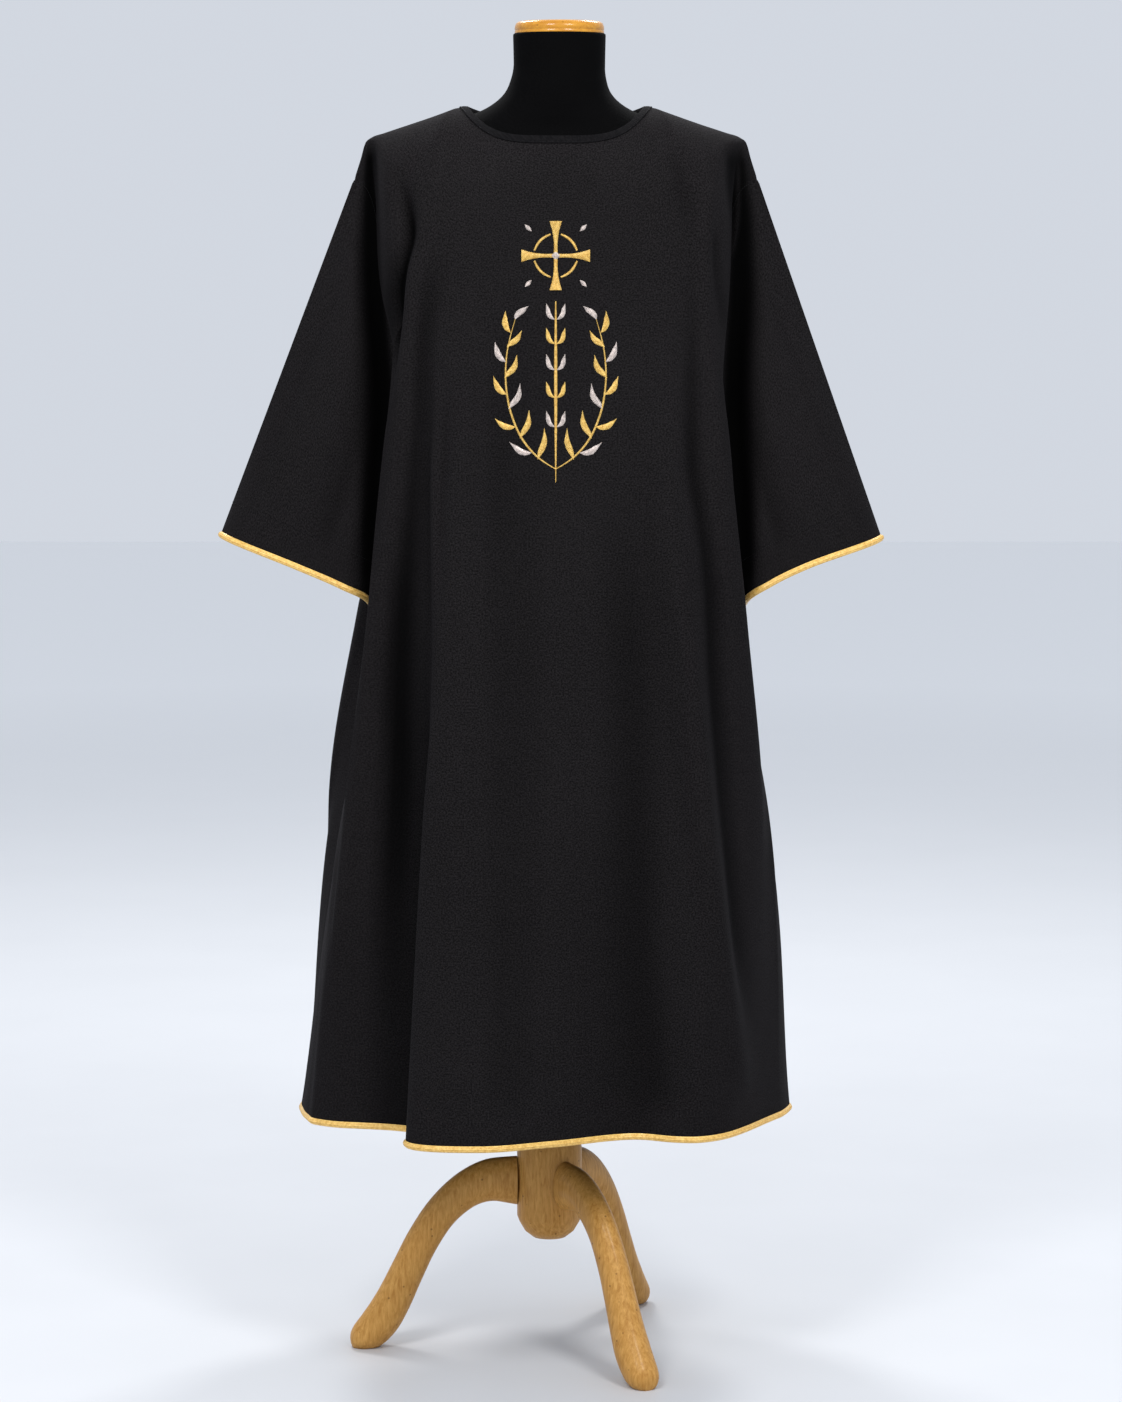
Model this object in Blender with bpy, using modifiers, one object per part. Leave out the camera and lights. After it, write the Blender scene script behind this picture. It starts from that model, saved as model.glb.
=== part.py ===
"""A dalmatic on a dress form.

The dalmatic is a wide T-shaped church vestment of black wool: a front and a back panel, two
sleeves set into dropped seams, a bias binding round the neck, and gold piping along the hem and
the cuffs. It hangs over a limbless dress form with a jersey cover, on a pole and three wooden
legs. Metres, Z up, with the wearer's right at -X and the front at -Y.

Every panel is a wall of cloth worked out from sections: each row of a section table is one
level of the garment, and its columns are the guides that the main folds run along.
"""

import math
from collections import namedtuple

import bmesh
import bpy
import numpy as np
from mathutils.bvhtree import BVHTree

# ---- driving dimensions ----------------------------------------------------------------------
CLOTH = 0.0020            # thickness of a cloth wall
SEAM_GAP = 0.0003         # between two pieces that are sewn together
HEM_HEIGHT = 0.3220       # lower edge of the cloth above the floor
CHEST_HEIGHT = 1.3800     # where the cloth leaves the round of the shoulders and hangs
UNDERARM_HEIGHT = 1.1200  # where the sleeve seam meets the side seam
NECK_HALF_WIDTH = 0.1120  # centre to the neck's end of the shoulder seam
NECK_HEIGHT = 1.5963      # there
PIPING_RADIUS = 0.0044
BINDING_WIDTH = 0.0090    # of each leg of the folded neck binding
BINDING_CLOTH = 0.0009
BINDING_GAP = 0.0008      # between the binding and the panel that it encloses

FORM_AXIS = 0.0045        # of the torso and the shoulder seams; the hem hangs askew
STAND_AXIS = (-0.0040, 0.0160)  # of the pole, the hub and the legs
NECK_AXIS = 0.0090        # of the form's neck and cap: the neck leans a little
LEAN_START = 1.5700       # height where the neck begins to lean
LEAN_END = 1.6500         # height where it has reached its own axis
NECK_TOP = 1.6885
CAP_HEIGHT = 0.0150
TORSO_BOTTOM = 0.7800
POLE_RADIUS = 0.0160
HUB_RADIUS = 0.0420
FOOT_REACH = 0.2590       # pole axis to the tip of a foot
LEG_DIRECTIONS = (("leg_front", 29.3), ("leg_side", -86.5), ("leg_back", 151.4))  # from -Y

# ---- how finely the cloth is divided ---------------------------------------------------------
# Stations run across half a panel, from its centre at 0 to its seam at 1.
GUIDE_STATIONS = (0.0, 0.28, 0.50, 0.575, 0.63, 0.69, 0.87, 1.0)
STATIONS = (0.0, 0.07, 0.14, 0.21, 0.28, 0.34, 0.40, 0.45, 0.50, 0.54, 0.575, 0.60, 0.63,
            0.66, 0.69, 0.75, 0.81, 0.87, 0.90, 0.94, 1.0)
FAN = 0.6                 # below 1, the threads fan out soonest close to the neckline
ROUND_STEPS = (0.0, 0.06, 0.18, 0.36, 0.56, 0.78, 1.0)  # down the round of the shoulders
ARMHOLE_LEVELS = (1.3150, 1.2500, 1.1850, UNDERARM_HEIGHT)
SKIRT_LEVELS = (1.04, 0.96, 0.87, 0.78, 0.69, 0.60, 0.51, 0.42, HEM_HEIGHT)
SLEEVE_STEPS = (0.0, 0.07, 0.2, 0.35, 0.5, 0.65, 0.8, 0.92, 1.0)  # seam to cuff

# ---- sections of the cloth -------------------------------------------------------------------
# Each guide gives (out, deep): how far out from the garment's centre and how far from its
# middle plane, to the front on the front panel and to the back on the back panel.
Section = namedtuple("Section", "height swell lobe pleat shelf ridge edge seam")
Middle = namedtuple("Middle", "height front back")
MIDDLES = (
    Middle(1.380, 0.130, 0.128),
    Middle(1.280, 0.139, 0.131),
    Middle(1.120, 0.150, 0.136),
    Middle(0.950, 0.168, 0.148),
    Middle(0.700, 0.192, 0.172),
    Middle(0.322, 0.225, 0.208),
)
FRONT_RIGHT = (
    Section(1.380, (0.078, 0.131), (0.141, 0.124), (0.161, 0.117), (0.175, 0.110),
            (0.194, 0.098), (0.220, 0.060), (0.215, 0.028)),
    Section(1.280, (0.076, 0.141), (0.142, 0.134), (0.159, 0.125), (0.175, 0.117),
            (0.199, 0.100), (0.198, 0.055), (0.193, 0.018)),
    Section(1.120, (0.073, 0.158), (0.146, 0.150), (0.156, 0.134), (0.178, 0.124),
            (0.217, 0.105), (0.200, 0.052), (0.181, 0.000)),
    Section(0.950, (0.071, 0.184), (0.145, 0.170), (0.153, 0.145), (0.179, 0.128),
            (0.233, 0.106), (0.215, 0.052), (0.181, 0.000)),
    Section(0.700, (0.073, 0.215), (0.161, 0.195), (0.151, 0.152), (0.183, 0.128),
            (0.264, 0.100), (0.268, 0.055), (0.263, 0.000)),
    Section(0.322, (0.093, 0.256), (0.182, 0.215), (0.153, 0.160), (0.198, 0.128),
            (0.278, 0.107), (0.313, 0.062), (0.325, 0.000)),
)
FRONT_LEFT = (
    Section(1.380, (0.087, 0.131), (0.147, 0.124), (0.167, 0.117), (0.183, 0.110),
            (0.197, 0.102), (0.224, 0.066), (0.217, 0.030)),
    Section(1.280, (0.087, 0.140), (0.149, 0.132), (0.167, 0.125), (0.185, 0.118),
            (0.210, 0.104), (0.215, 0.060), (0.200, 0.020)),
    Section(1.120, (0.085, 0.152), (0.155, 0.148), (0.173, 0.142), (0.195, 0.132),
            (0.227, 0.108), (0.211, 0.052), (0.183, 0.000)),
    Section(0.950, (0.082, 0.166), (0.165, 0.168), (0.183, 0.160), (0.207, 0.142),
            (0.245, 0.098), (0.230, 0.050), (0.183, 0.000)),
    Section(0.700, (0.079, 0.182), (0.187, 0.190), (0.207, 0.176), (0.231, 0.148),
            (0.267, 0.085), (0.276, 0.045), (0.270, 0.000)),
    Section(0.322, (0.104, 0.180), (0.175, 0.200), (0.217, 0.176), (0.243, 0.138),
            (0.270, 0.088), (0.297, 0.036), (0.307, 0.000)),
)
BACK_RIGHT = (
    Section(1.380, (0.078, 0.128), (0.141, 0.120), (0.161, 0.112), (0.175, 0.106),
            (0.196, 0.092), (0.220, 0.058), (0.215, 0.028)),
    Section(1.280, (0.076, 0.133), (0.142, 0.127), (0.159, 0.120), (0.175, 0.113),
            (0.200, 0.098), (0.199, 0.055), (0.193, 0.018)),
    Section(1.120, (0.073, 0.144), (0.143, 0.142), (0.163, 0.134), (0.187, 0.124),
            (0.218, 0.104), (0.202, 0.052), (0.181, 0.000)),
    Section(0.950, (0.071, 0.165), (0.150, 0.160), (0.172, 0.146), (0.196, 0.134),
            (0.254, 0.101), (0.232, 0.050), (0.181, 0.000)),
    Section(0.700, (0.073, 0.200), (0.163, 0.185), (0.182, 0.162), (0.212, 0.144),
            (0.291, 0.092), (0.286, 0.048), (0.263, 0.000)),
    Section(0.322, (0.093, 0.252), (0.172, 0.215), (0.200, 0.176), (0.236, 0.150),
            (0.293, 0.102), (0.318, 0.052), (0.325, 0.000)),
)
BACK_LEFT = (
    Section(1.380, (0.087, 0.128), (0.147, 0.120), (0.167, 0.112), (0.183, 0.105),
            (0.199, 0.094), (0.223, 0.060), (0.217, 0.030)),
    Section(1.280, (0.087, 0.134), (0.149, 0.128), (0.167, 0.122), (0.185, 0.114),
            (0.209, 0.098), (0.211, 0.056), (0.200, 0.020)),
    Section(1.120, (0.085, 0.146), (0.155, 0.142), (0.173, 0.134), (0.195, 0.122),
            (0.224, 0.102), (0.210, 0.052), (0.183, 0.000)),
    Section(0.950, (0.082, 0.168), (0.160, 0.156), (0.180, 0.142), (0.205, 0.132),
            (0.240, 0.098), (0.228, 0.050), (0.183, 0.000)),
    Section(0.700, (0.079, 0.205), (0.172, 0.180), (0.192, 0.160), (0.222, 0.144),
            (0.262, 0.088), (0.272, 0.046), (0.270, 0.000)),
    Section(0.322, (0.095, 0.250), (0.182, 0.196), (0.208, 0.172), (0.240, 0.140),
            (0.272, 0.092), (0.299, 0.040), (0.307, 0.000)),
)

# The shoulder seam, from the neck over the end of the shoulder down to the sleeve seam.
ShoulderPoint = namedtuple("ShoulderPoint", "station out height")
SHOULDER = (
    ShoulderPoint(0.575, NECK_HALF_WIDTH, NECK_HEIGHT),
    ShoulderPoint(0.63, 0.1450, 1.5861),
    ShoulderPoint(0.69, 0.1750, 1.5769),
    ShoulderPoint(0.81, 0.2150, 1.5647),
    ShoulderPoint(0.87, 0.2330, 1.5590),
    ShoulderPoint(0.90, 0.2400, 1.5535),
    ShoulderPoint(0.94, 0.2462, 1.5330),
    ShoulderPoint(1.00, 0.2550, 1.5060),
)
NeckEdge = namedtuple("NeckEdge", "depth drop curve")
FRONT_NECK = NeckEdge(0.0900, 0.0383, 1.20)
BACK_NECK = NeckEdge(0.0760, 0.0120, 1.20)

# Half of a cuff, from its outer fold at 0 round to its underarm fold at 1.
CuffPoint = namedtuple("CuffPoint", "share out deep height")
RIGHT_CUFF = (
    CuffPoint(0.00, 0.4205, 0.000, 1.0625),
    CuffPoint(0.02, 0.4187, 0.0048, 1.0618),
    CuffPoint(0.48, 0.3220, 0.050, 1.0255),
    CuffPoint(0.76, 0.2640, 0.052, 1.0005),
    CuffPoint(0.91, 0.2345, 0.036, 0.9850),
    CuffPoint(1.00, 0.2285, 0.000, 0.9735),
)
LEFT_CUFF = (
    CuffPoint(0.00, 0.4175, 0.000, 1.0585),
    CuffPoint(0.02, 0.4157, 0.0048, 1.0578),
    CuffPoint(0.48, 0.3200, 0.050, 1.0260),
    CuffPoint(0.74, 0.2745, 0.051, 1.0040),
    CuffPoint(0.91, 0.2460, 0.036, 0.9850),
    CuffPoint(1.00, 0.2400, 0.000, 0.9720),
)
SLEEVE_FULLNESS = 0.010   # how far a sleeve's walls belly out half way down

# ---- sections of the dress form --------------------------------------------------------------
FormRing = namedtuple("FormRing", "half_width side_height half_depth middle_height")
FORM_RINGS = (
    FormRing(0.1560, TORSO_BOTTOM, 0.1010, TORSO_BOTTOM),
    FormRing(0.1660, 0.7860, 0.1100, 0.7860),
    FormRing(0.1740, 0.8700, 0.1170, 0.8700),
    FormRing(0.1680, 0.9700, 0.1120, 0.9700),
    FormRing(0.1500, 1.0900, 0.0980, 1.0900),
    FormRing(0.1600, 1.2000, 0.1040, 1.2000),
    FormRing(0.1800, 1.3200, 0.1100, 1.3200),
    FormRing(0.1930, 1.4100, 0.1080, 1.3950),
    FormRing(0.2040, 1.4700, 0.1020, 1.4450),
    FormRing(0.2100, 1.5150, 0.0960, 1.4850),
    FormRing(0.2090, 1.5400, 0.0880, 1.5060),
    FormRing(0.2030, 1.5590, 0.0800, 1.5230),
    FormRing(0.1900, 1.5696, 0.0720, 1.5380),
    FormRing(0.1700, 1.5757, 0.0650, 1.5500),
    FormRing(0.1480, 1.5800, 0.0600, 1.5610),
    FormRing(0.1250, 1.5832, 0.0570, 1.5700),
    FormRing(0.1020, 1.5895, 0.0560, 1.5790),
    FormRing(0.0820, 1.6000, 0.0560, 1.5900),
    FormRing(0.0680, 1.6130, 0.0565, 1.6050),
    FormRing(0.0610, 1.6280, 0.0565, 1.6230),
    FormRing(0.0575, 1.6500, 0.0560, 1.6480),
    FormRing(0.0582, NECK_TOP - 0.0030, 0.0575, NECK_TOP - 0.0030),
    FormRing(0.0565, NECK_TOP, 0.0558, NECK_TOP),
)
RING_SIDES = 36

# A leg's sections, from the hub down to the toe.
LegSection = namedtuple("LegSection", "reach height half_width half_height lean")
LEG_SECTIONS = (
    LegSection(HUB_RADIUS + SEAM_GAP, 0.2180, 0.0180, 0.0320, 0.0),
    LegSection(0.0700, 0.2190, 0.0185, 0.0290, -10.0),
    LegSection(0.1050, 0.2080, 0.0185, 0.0245, -32.0),
    LegSection(0.1380, 0.1800, 0.0185, 0.0220, -50.0),
    LegSection(0.1640, 0.1420, 0.0190, 0.0215, -60.0),
    LegSection(0.1840, 0.1020, 0.0200, 0.0220, -60.0),
    LegSection(0.2010, 0.0660, 0.0215, 0.0235, -54.0),
    LegSection(0.2160, 0.0400, 0.0228, 0.0248, -44.0),
    LegSection(0.2310, 0.0230, 0.0222, 0.0240, -30.0),
    LegSection(0.2430, 0.0150, 0.0205, 0.0205, -20.0),
    LegSection(0.2515, 0.0120, 0.0170, 0.0160, -12.0),
    LegSection(0.2570, 0.0095, 0.0115, 0.0105, -8.0),
    LegSection(FOOT_REACH, 0.0085, 0.0050, 0.0045, -8.0),
)
LEG_SIDES = 12
HUB_PROFILE = ((0.026, 0.292), (0.036, 0.286), (0.039, 0.272), (HUB_RADIUS, 0.262),
               (HUB_RADIUS, 0.172), (0.039, 0.164), (0.032, 0.152), (0.022, 0.144))
CAP_PROFILE = ((0.0470, CAP_HEIGHT), (0.0515, 0.0142), (0.0545, 0.0120), (0.0560, 0.0085),
               (0.0563, 0.0050), (0.0560, 0.0))
TURNED_SIDES = 40


def clear_scene():
    """Remove whatever the file holds before the model is built."""
    for obj in list(bpy.data.objects):
        bpy.data.objects.remove(obj, do_unlink=True)


def make_material(name, colour, roughness, metallic=0.0):
    """A plain Principled material."""
    material = bpy.data.materials.new(name)
    material.use_nodes = True
    shader = material.node_tree.nodes["Principled BSDF"]
    shader.inputs["Base Color"].default_value = (*colour, 1.0)
    shader.inputs["Roughness"].default_value = roughness
    shader.inputs["Metallic"].default_value = metallic
    material.diffuse_color = (*colour, 1.0)
    return material


def smooth(knots, values, at):
    """Values on the smooth curve through the knots, which never overshoots them."""
    knots = np.asarray(knots, float)
    values = np.asarray(values, float)
    at = np.asarray(at, float)
    steps = np.diff(knots)
    wide = (slice(None),) + (None,) * (values.ndim - 1)
    slopes = np.diff(values, axis=0) / steps[wide]
    tangents = np.concatenate([slopes[:1], slopes])
    tangents[1:-1] = (
        (slopes[:-1] * steps[1:][wide] + slopes[1:] * steps[:-1][wide])
        / (steps[:-1] + steps[1:])[wide]
    )
    most = 3 * np.minimum(abs(slopes[:-1]), abs(slopes[1:]))
    most[slopes[:-1] * slopes[1:] <= 0] = 0.0
    tangents[1:-1] = np.clip(tangents[1:-1], -most, most)
    cell = np.clip(np.searchsorted(knots, at, side="right") - 1, 0, len(steps) - 1)
    share = ((at - knots[cell]) / steps[cell])[wide]
    span = steps[cell][wide]
    return (
        (2 * share**3 - 3 * share**2 + 1) * values[cell]
        + (share**3 - 2 * share**2 + share) * span * tangents[cell]
        + (3 * share**2 - 2 * share**3) * values[cell + 1]
        + (share**3 - share**2) * span * tangents[cell + 1]
    )


def both_sides(half):
    """Stations over the whole panel, from the wearer's right seam to the left one."""
    return np.array([-station for station in reversed(half[1:])] + list(half))


def hanging_rows(right, left, middles, facing, stations, heights):
    """Points of a panel at these heights; facing is -1 on the front and +1 on the back."""
    levels = []
    for right_row, left_row, deep in zip(right, left, middles):
        guides = [(-out, facing * far) for out, far in reversed(right_row[1:])]
        guides.append((0.0, facing * deep))
        guides += [(out, facing * far) for out, far in left_row[1:]]
        levels.append(guides)
    # Heights run downwards, and knots have to rise, so both are negated.
    at_heights = smooth([-row.height for row in right], levels, -np.asarray(heights))
    across = smooth(both_sides(GUIDE_STATIONS), at_heights.transpose(1, 0, 2), stations)
    tall = np.broadcast_to(np.asarray(heights)[None, :, None], across.shape[:2] + (1,))
    return np.concatenate([across, tall], axis=2).transpose(1, 0, 2)


def top_edge(neck, facing, stations):
    """The panel's upper edge: half the neckline, and the shoulder seam on each side."""
    shoulder = smooth(
        [point.station for point in SHOULDER],
        [(point.out, point.height) for point in SHOULDER],
        np.maximum(abs(stations), SHOULDER[0].station),
    )
    turn = np.minimum(abs(stations) / SHOULDER[0].station, 1.0) * math.pi / 2
    opening = np.cos(turn).clip(0.0)
    on_neck = abs(stations) < SHOULDER[0].station
    out = np.where(on_neck, NECK_HALF_WIDTH * np.sin(turn), shoulder[:, 0])
    fall = (opening**2 * (3 - 2 * opening)) ** neck.curve
    height = np.where(on_neck, NECK_HEIGHT - neck.drop * fall, shoulder[:, 1])
    deep = np.where(on_neck, neck.depth * opening, 0.0)
    return np.stack([FORM_AXIS + np.sign(stations) * out, facing * deep, height], axis=1)


def rounded_rows(top, chest, steps):
    """Rows down the round of the shoulders: each station follows a quarter of an ellipse."""
    start = np.arcsin(np.clip(top[:, 1] / chest[:, 1], 0.0, 1.0))
    rows = []
    for step in steps:
        turn = start + (math.pi / 2 - start) * step
        fall = (np.cos(start) - np.cos(turn)) / np.cos(start)
        reach = (np.sin(turn) - np.sin(start)) / (1 - np.sin(start))
        rows.append(np.stack([
            top[:, 0] + (chest[:, 0] - top[:, 0]) * reach**FAN,
            top[:, 1] + (chest[:, 1] - top[:, 1]) * reach,
            top[:, 2] + (chest[:, 2] - top[:, 2]) * fall,
        ], axis=1))
    return np.array(rows)


def panel_grid(right, left, deeps, neck, facing):
    """Outer points of a panel, by row from the top edge to the hem and by station."""
    stations = both_sides(STATIONS)
    heights = (CHEST_HEIGHT,) + ARMHOLE_LEVELS + SKIRT_LEVELS
    hanging = hanging_rows(right, left, deeps, facing, stations, heights)
    rounded = rounded_rows(top_edge(neck, facing, stations), hanging[0], ROUND_STEPS[:-1])
    return np.concatenate([rounded, hanging])


ARMHOLE_ROWS = len(ROUND_STEPS) + len(ARMHOLE_LEVELS)


def sleeve_grid(front, back, column, side, cuff):
    """Outer points of a sleeve: round it from its outer fold by the front, seam to cuff."""
    front_seam = front[:ARMHOLE_ROWS, column]
    back_seam = back[:ARMHOLE_ROWS, column]
    along = np.concatenate([[0.0], np.linalg.norm(np.diff(front_seam, axis=0), axis=1).cumsum()])
    share = along / along[-1]
    half_cuff = smooth([p.share for p in cuff], [p[1:] for p in cuff], share)
    front_cuff = half_cuff * (side, -1.0, 1.0)
    back_cuff = half_cuff * (side, 1.0, 1.0)
    # The underarm and the outer fold belong to both halves, so the back leaves them out.
    seam_loop = np.concatenate([front_seam, back_seam[-2:0:-1]])
    cuff_loop = np.concatenate([front_cuff, back_cuff[-2:0:-1]])
    belly = np.concatenate([np.sin(math.pi * share), -np.sin(math.pi * share[-2:0:-1])])
    rows = []
    for step in SLEEVE_STEPS:
        row = seam_loop + (cuff_loop - seam_loop) * step
        row[:, 1] -= SLEEVE_FULLNESS * belly * math.sin(math.pi * step)
        rows.append(row)
    return np.array(rows).transpose(1, 0, 2)


def grid_normals(points, closed, outward):
    """Unit normals of a grid of points; a closed grid joins its last row to its first."""
    if closed:
        down = np.roll(points, -1, axis=0) - np.roll(points, 1, axis=0)
    else:
        down = np.gradient(points, axis=0)
    across = np.gradient(points, axis=1)
    normals = np.cross(down, across) * outward
    return normals / np.linalg.norm(normals, axis=2, keepdims=True)


def share_normals(*borders):
    """Give the borders of pieces that meet at a seam one mitred direction."""
    mean = sum(normals[where] for normals, where in borders)
    mean /= np.linalg.norm(mean, axis=-1, keepdims=True)
    for normals, where in borders:
        normals[where] = mean


def pull_back(points, normals, border, inner, amount=SEAM_GAP / 2):
    """Move a border of a grid towards its own inside, within the surface."""
    inward = points[inner] - points[border]
    normal = normals[border]
    inward = inward - (inward * normal).sum(axis=-1, keepdims=True) * normal
    seam = np.gradient(points[border], axis=0)
    seam /= np.linalg.norm(seam, axis=-1, keepdims=True)
    inward = inward - (inward * seam).sum(axis=-1, keepdims=True) * seam
    inward /= np.linalg.norm(inward, axis=-1, keepdims=True)
    return inward * amount


def link(name, mesh, material, collection):
    """Put a mesh in the scene as the node of this name."""
    obj = bpy.data.objects.new(name, mesh)
    obj.data.materials.append(material)
    collection.objects.link(obj)
    return obj


def mesh_of(name, points, faces):
    """A closed mesh from its points and faces, with its faces turned outwards."""
    mesh = bpy.data.meshes.new(name)
    mesh.from_pydata([tuple(point) for point in points], [], faces)
    work = bmesh.new()
    work.from_mesh(mesh)
    bmesh.ops.recalc_face_normals(work, faces=work.faces)
    work.to_mesh(mesh)
    work.free()
    mesh.shade_smooth()
    mesh.set_sharp_from_angle(angle=math.radians(50))
    return mesh


def split_quad(first, second, third, fourth):
    """The two triangles of a quad, always cut along the same diagonal."""
    return (first, second, third), (first, third, fourth)


def cloth_wall(name, outer, normals, closed):
    """A wall of cloth under a grid of outer points, closed at its borders."""
    inner = outer - normals * CLOTH
    rows, columns = outer.shape[:2]
    below = rows * columns

    def at(row, column):
        return (row % rows) * columns + column

    faces = []
    for row in range(rows if closed else rows - 1):
        for column in range(columns - 1):
            for corners in split_quad(at(row, column), at(row, column + 1),
                                      at(row + 1, column + 1), at(row + 1, column)):
                faces.append(corners)
                faces.append(tuple(below + corner for corner in reversed(corners)))
        for column in (0, columns - 1):
            faces.append((at(row, column), at(row + 1, column),
                          below + at(row + 1, column), below + at(row, column)))
    if not closed:
        for column in range(columns - 1):
            for row in (0, rows - 1):
                faces.append((at(row, column), at(row, column + 1),
                              below + at(row, column + 1), below + at(row, column)))
    return mesh_of(name, np.concatenate([outer.reshape(-1, 3), inner.reshape(-1, 3)]), faces)


def swept_ring(name, sections):
    """A closed ring from one section for each place round it."""
    count, sides = sections.shape[:2]
    faces = []
    for place in range(count):
        after = (place + 1) % count
        for side in range(sides):
            beside = (side + 1) % sides
            faces.append((place * sides + side, place * sides + beside,
                          after * sides + beside, after * sides + side))
    return mesh_of(name, sections.reshape(-1, 3), faces)


def capped_loft(name, sections):
    """A solid through one section after another, with a flat face at each end."""
    count, sides = sections.shape[:2]
    faces = [tuple(range(sides)), tuple((count - 1) * sides + side for side in range(sides))]
    for place in range(count - 1):
        for side in range(sides):
            beside = (side + 1) % sides
            faces.append((place * sides + side, place * sides + beside,
                          (place + 1) * sides + beside, (place + 1) * sides + side))
    return mesh_of(name, sections.reshape(-1, 3), faces)


def round_cord(name, points, material, collection):
    """A closed round cord as a bevelled curve."""
    curve = bpy.data.curves.new(name, "CURVE")
    curve.dimensions = "3D"
    curve.bevel_depth = PIPING_RADIUS
    curve.bevel_resolution = 2
    spline = curve.splines.new("POLY")
    spline.points.add(len(points) - 1)
    for spline_point, point in zip(spline.points, points):
        spline_point.co = (*point, 1.0)
    spline.use_cyclic_u = True
    curve.materials.append(material)
    obj = bpy.data.objects.new(name, curve)
    collection.objects.link(obj)


def turned(name, profile, axis, height, material, collection):
    """A turned piece: its profile, top to bottom, spun round an upright axis."""
    points = [(0.0, 0.0, profile[0][1])] + [(r, 0.0, z) for r, z in profile]
    points.append((0.0, 0.0, profile[-1][1]))
    mesh = bpy.data.meshes.new(name)
    mesh.from_pydata(points, [(i, i + 1) for i in range(len(points) - 1)], [])
    obj = link(name, mesh, material, collection)
    obj.location = (*axis, height)
    screw = obj.modifiers.new("Spin", "SCREW")
    screw.steps = screw.render_steps = TURNED_SIDES
    screw.use_merge_vertices = True
    screw.merge_threshold = 0.0001


def cut_panels():
    """The outer points of the four cloth pieces."""
    fronts = [row.front for row in MIDDLES]
    backs = [row.back for row in MIDDLES]
    front = panel_grid(FRONT_RIGHT, FRONT_LEFT, fronts, FRONT_NECK, -1.0)
    back = panel_grid(BACK_RIGHT, BACK_LEFT, backs, BACK_NECK, 1.0)
    right_sleeve = sleeve_grid(front, back, 0, -1.0, RIGHT_CUFF)
    left_sleeve = sleeve_grid(front, back, -1, 1.0, LEFT_CUFF)
    return front, back, right_sleeve, left_sleeve


def sew_panels(front, back, right_sleeve, left_sleeve):
    """Mitre the pieces' normals along their seams, and open the seams by their gap."""
    normals = {
        "front": grid_normals(front, False, 1.0),
        "back": grid_normals(back, False, -1.0),
        "right": grid_normals(right_sleeve, True, -1.0),
        "left": grid_normals(left_sleeve, True, 1.0),
    }
    shoulder = abs(both_sides(STATIONS)) >= SHOULDER[0].station
    last = ARMHOLE_ROWS - 1
    share_normals((normals["front"], (0, shoulder)), (normals["back"], (0, shoulder)))
    pulls = {"front": np.zeros_like(front), "back": np.zeros_like(back)}
    on_shoulder = int(shoulder.sum()) // 2
    for name, panel in (("front", front), ("back", back)):
        for span in (slice(0, on_shoulder), slice(-on_shoulder, None)):
            pulls[name][0, span] += pull_back(panel, normals[name], (0, span), (1, span))
        for column, beside in ((0, 1), (-1, -2)):
            rows = slice(0, len(panel))
            pulls[name][rows, column] += pull_back(
                panel, normals[name], (rows, column), (rows, beside))
    for column, sleeve_name, sleeve in ((0, "right", right_sleeve), (-1, "left", left_sleeve)):
        for row in range(last + 1):
            borders = [(normals["front"], (row, column)), (normals[sleeve_name], (row, 0))]
            if row in (0, last):
                borders.append((normals["back"], (row, column)))
            share_normals(*borders)
            if row not in (0, last):
                share_normals((normals["back"], (row, column)),
                              (normals[sleeve_name], (-row % len(sleeve), 0)))
        for row in range(last + 1, len(front)):
            share_normals((normals["front"], (row, column)), (normals["back"], (row, column)))
        loop = slice(0, len(sleeve))
        sleeve[:, 0] += pull_back(sleeve, normals[sleeve_name], (loop, 0), (loop, 1))
    front += pulls["front"]
    back += pulls["back"]
    return normals


def hem_loop(front, back, normals):
    """The middle of the cloth's lower edge, round the whole garment."""
    ahead = front[-1] - normals["front"][-1] * CLOTH / 2
    behind = back[-1] - normals["back"][-1] * CLOTH / 2
    return np.concatenate([ahead, behind[-2:0:-1]])


def cuff_loop(sleeve, normals):
    """The middle of a cuff's edge, moved on along the sleeve to the piping's centre."""
    edge = sleeve[:, -1] - normals[:, -1] * CLOTH / 2
    onward = sleeve[:, -1] - sleeve[:, -2]
    onward /= np.linalg.norm(onward, axis=1, keepdims=True)
    return edge + onward * (PIPING_RADIUS + SEAM_GAP)


def panel_surface(front, back):
    """The outer faces of both panels, to lay a piece on."""
    points, faces = [], []
    for grid in (front, back):
        start = len(points)
        rows, columns = grid.shape[:2]
        points += [tuple(point) for point in grid.reshape(-1, 3)]
        for row in range(rows - 1):
            for column in range(columns - 1):
                corner = start + row * columns + column
                faces += split_quad(corner, corner + 1, corner + columns + 1, corner + columns)
    return BVHTree.FromPolygons(points, faces)


def lay_on(surface, start, away, run):
    """The point and normal on the surface a run away from its edge, measured along it."""
    reach = run
    for _ in range(6):
        # A hair to one side, so that it never falls on the shoulder seam itself.
        above = (start[0] + away[0] * reach, start[1] + away[1] * reach + 1e-5, 2.0)
        point, normal = surface.ray_cast(above, (0.0, 0.0, -1.0))[:2]
        reach *= run / np.linalg.norm(np.array(point) - start)
    return np.array(point), np.array(normal) * math.copysign(1.0, normal.z)


def with_closer_points(ring, corners):
    """A ring of values with three more between each of its corners and its neighbours."""
    finer = []
    for place, value in enumerate(ring):
        after = (place + 1) % len(ring)
        shares = (0.0, 0.25, 0.5, 0.75) if {place, after} & set(corners) else (0.0,)
        finer += [value + (ring[after] - value) * share for share in shares]
    return np.array(finer)


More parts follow.
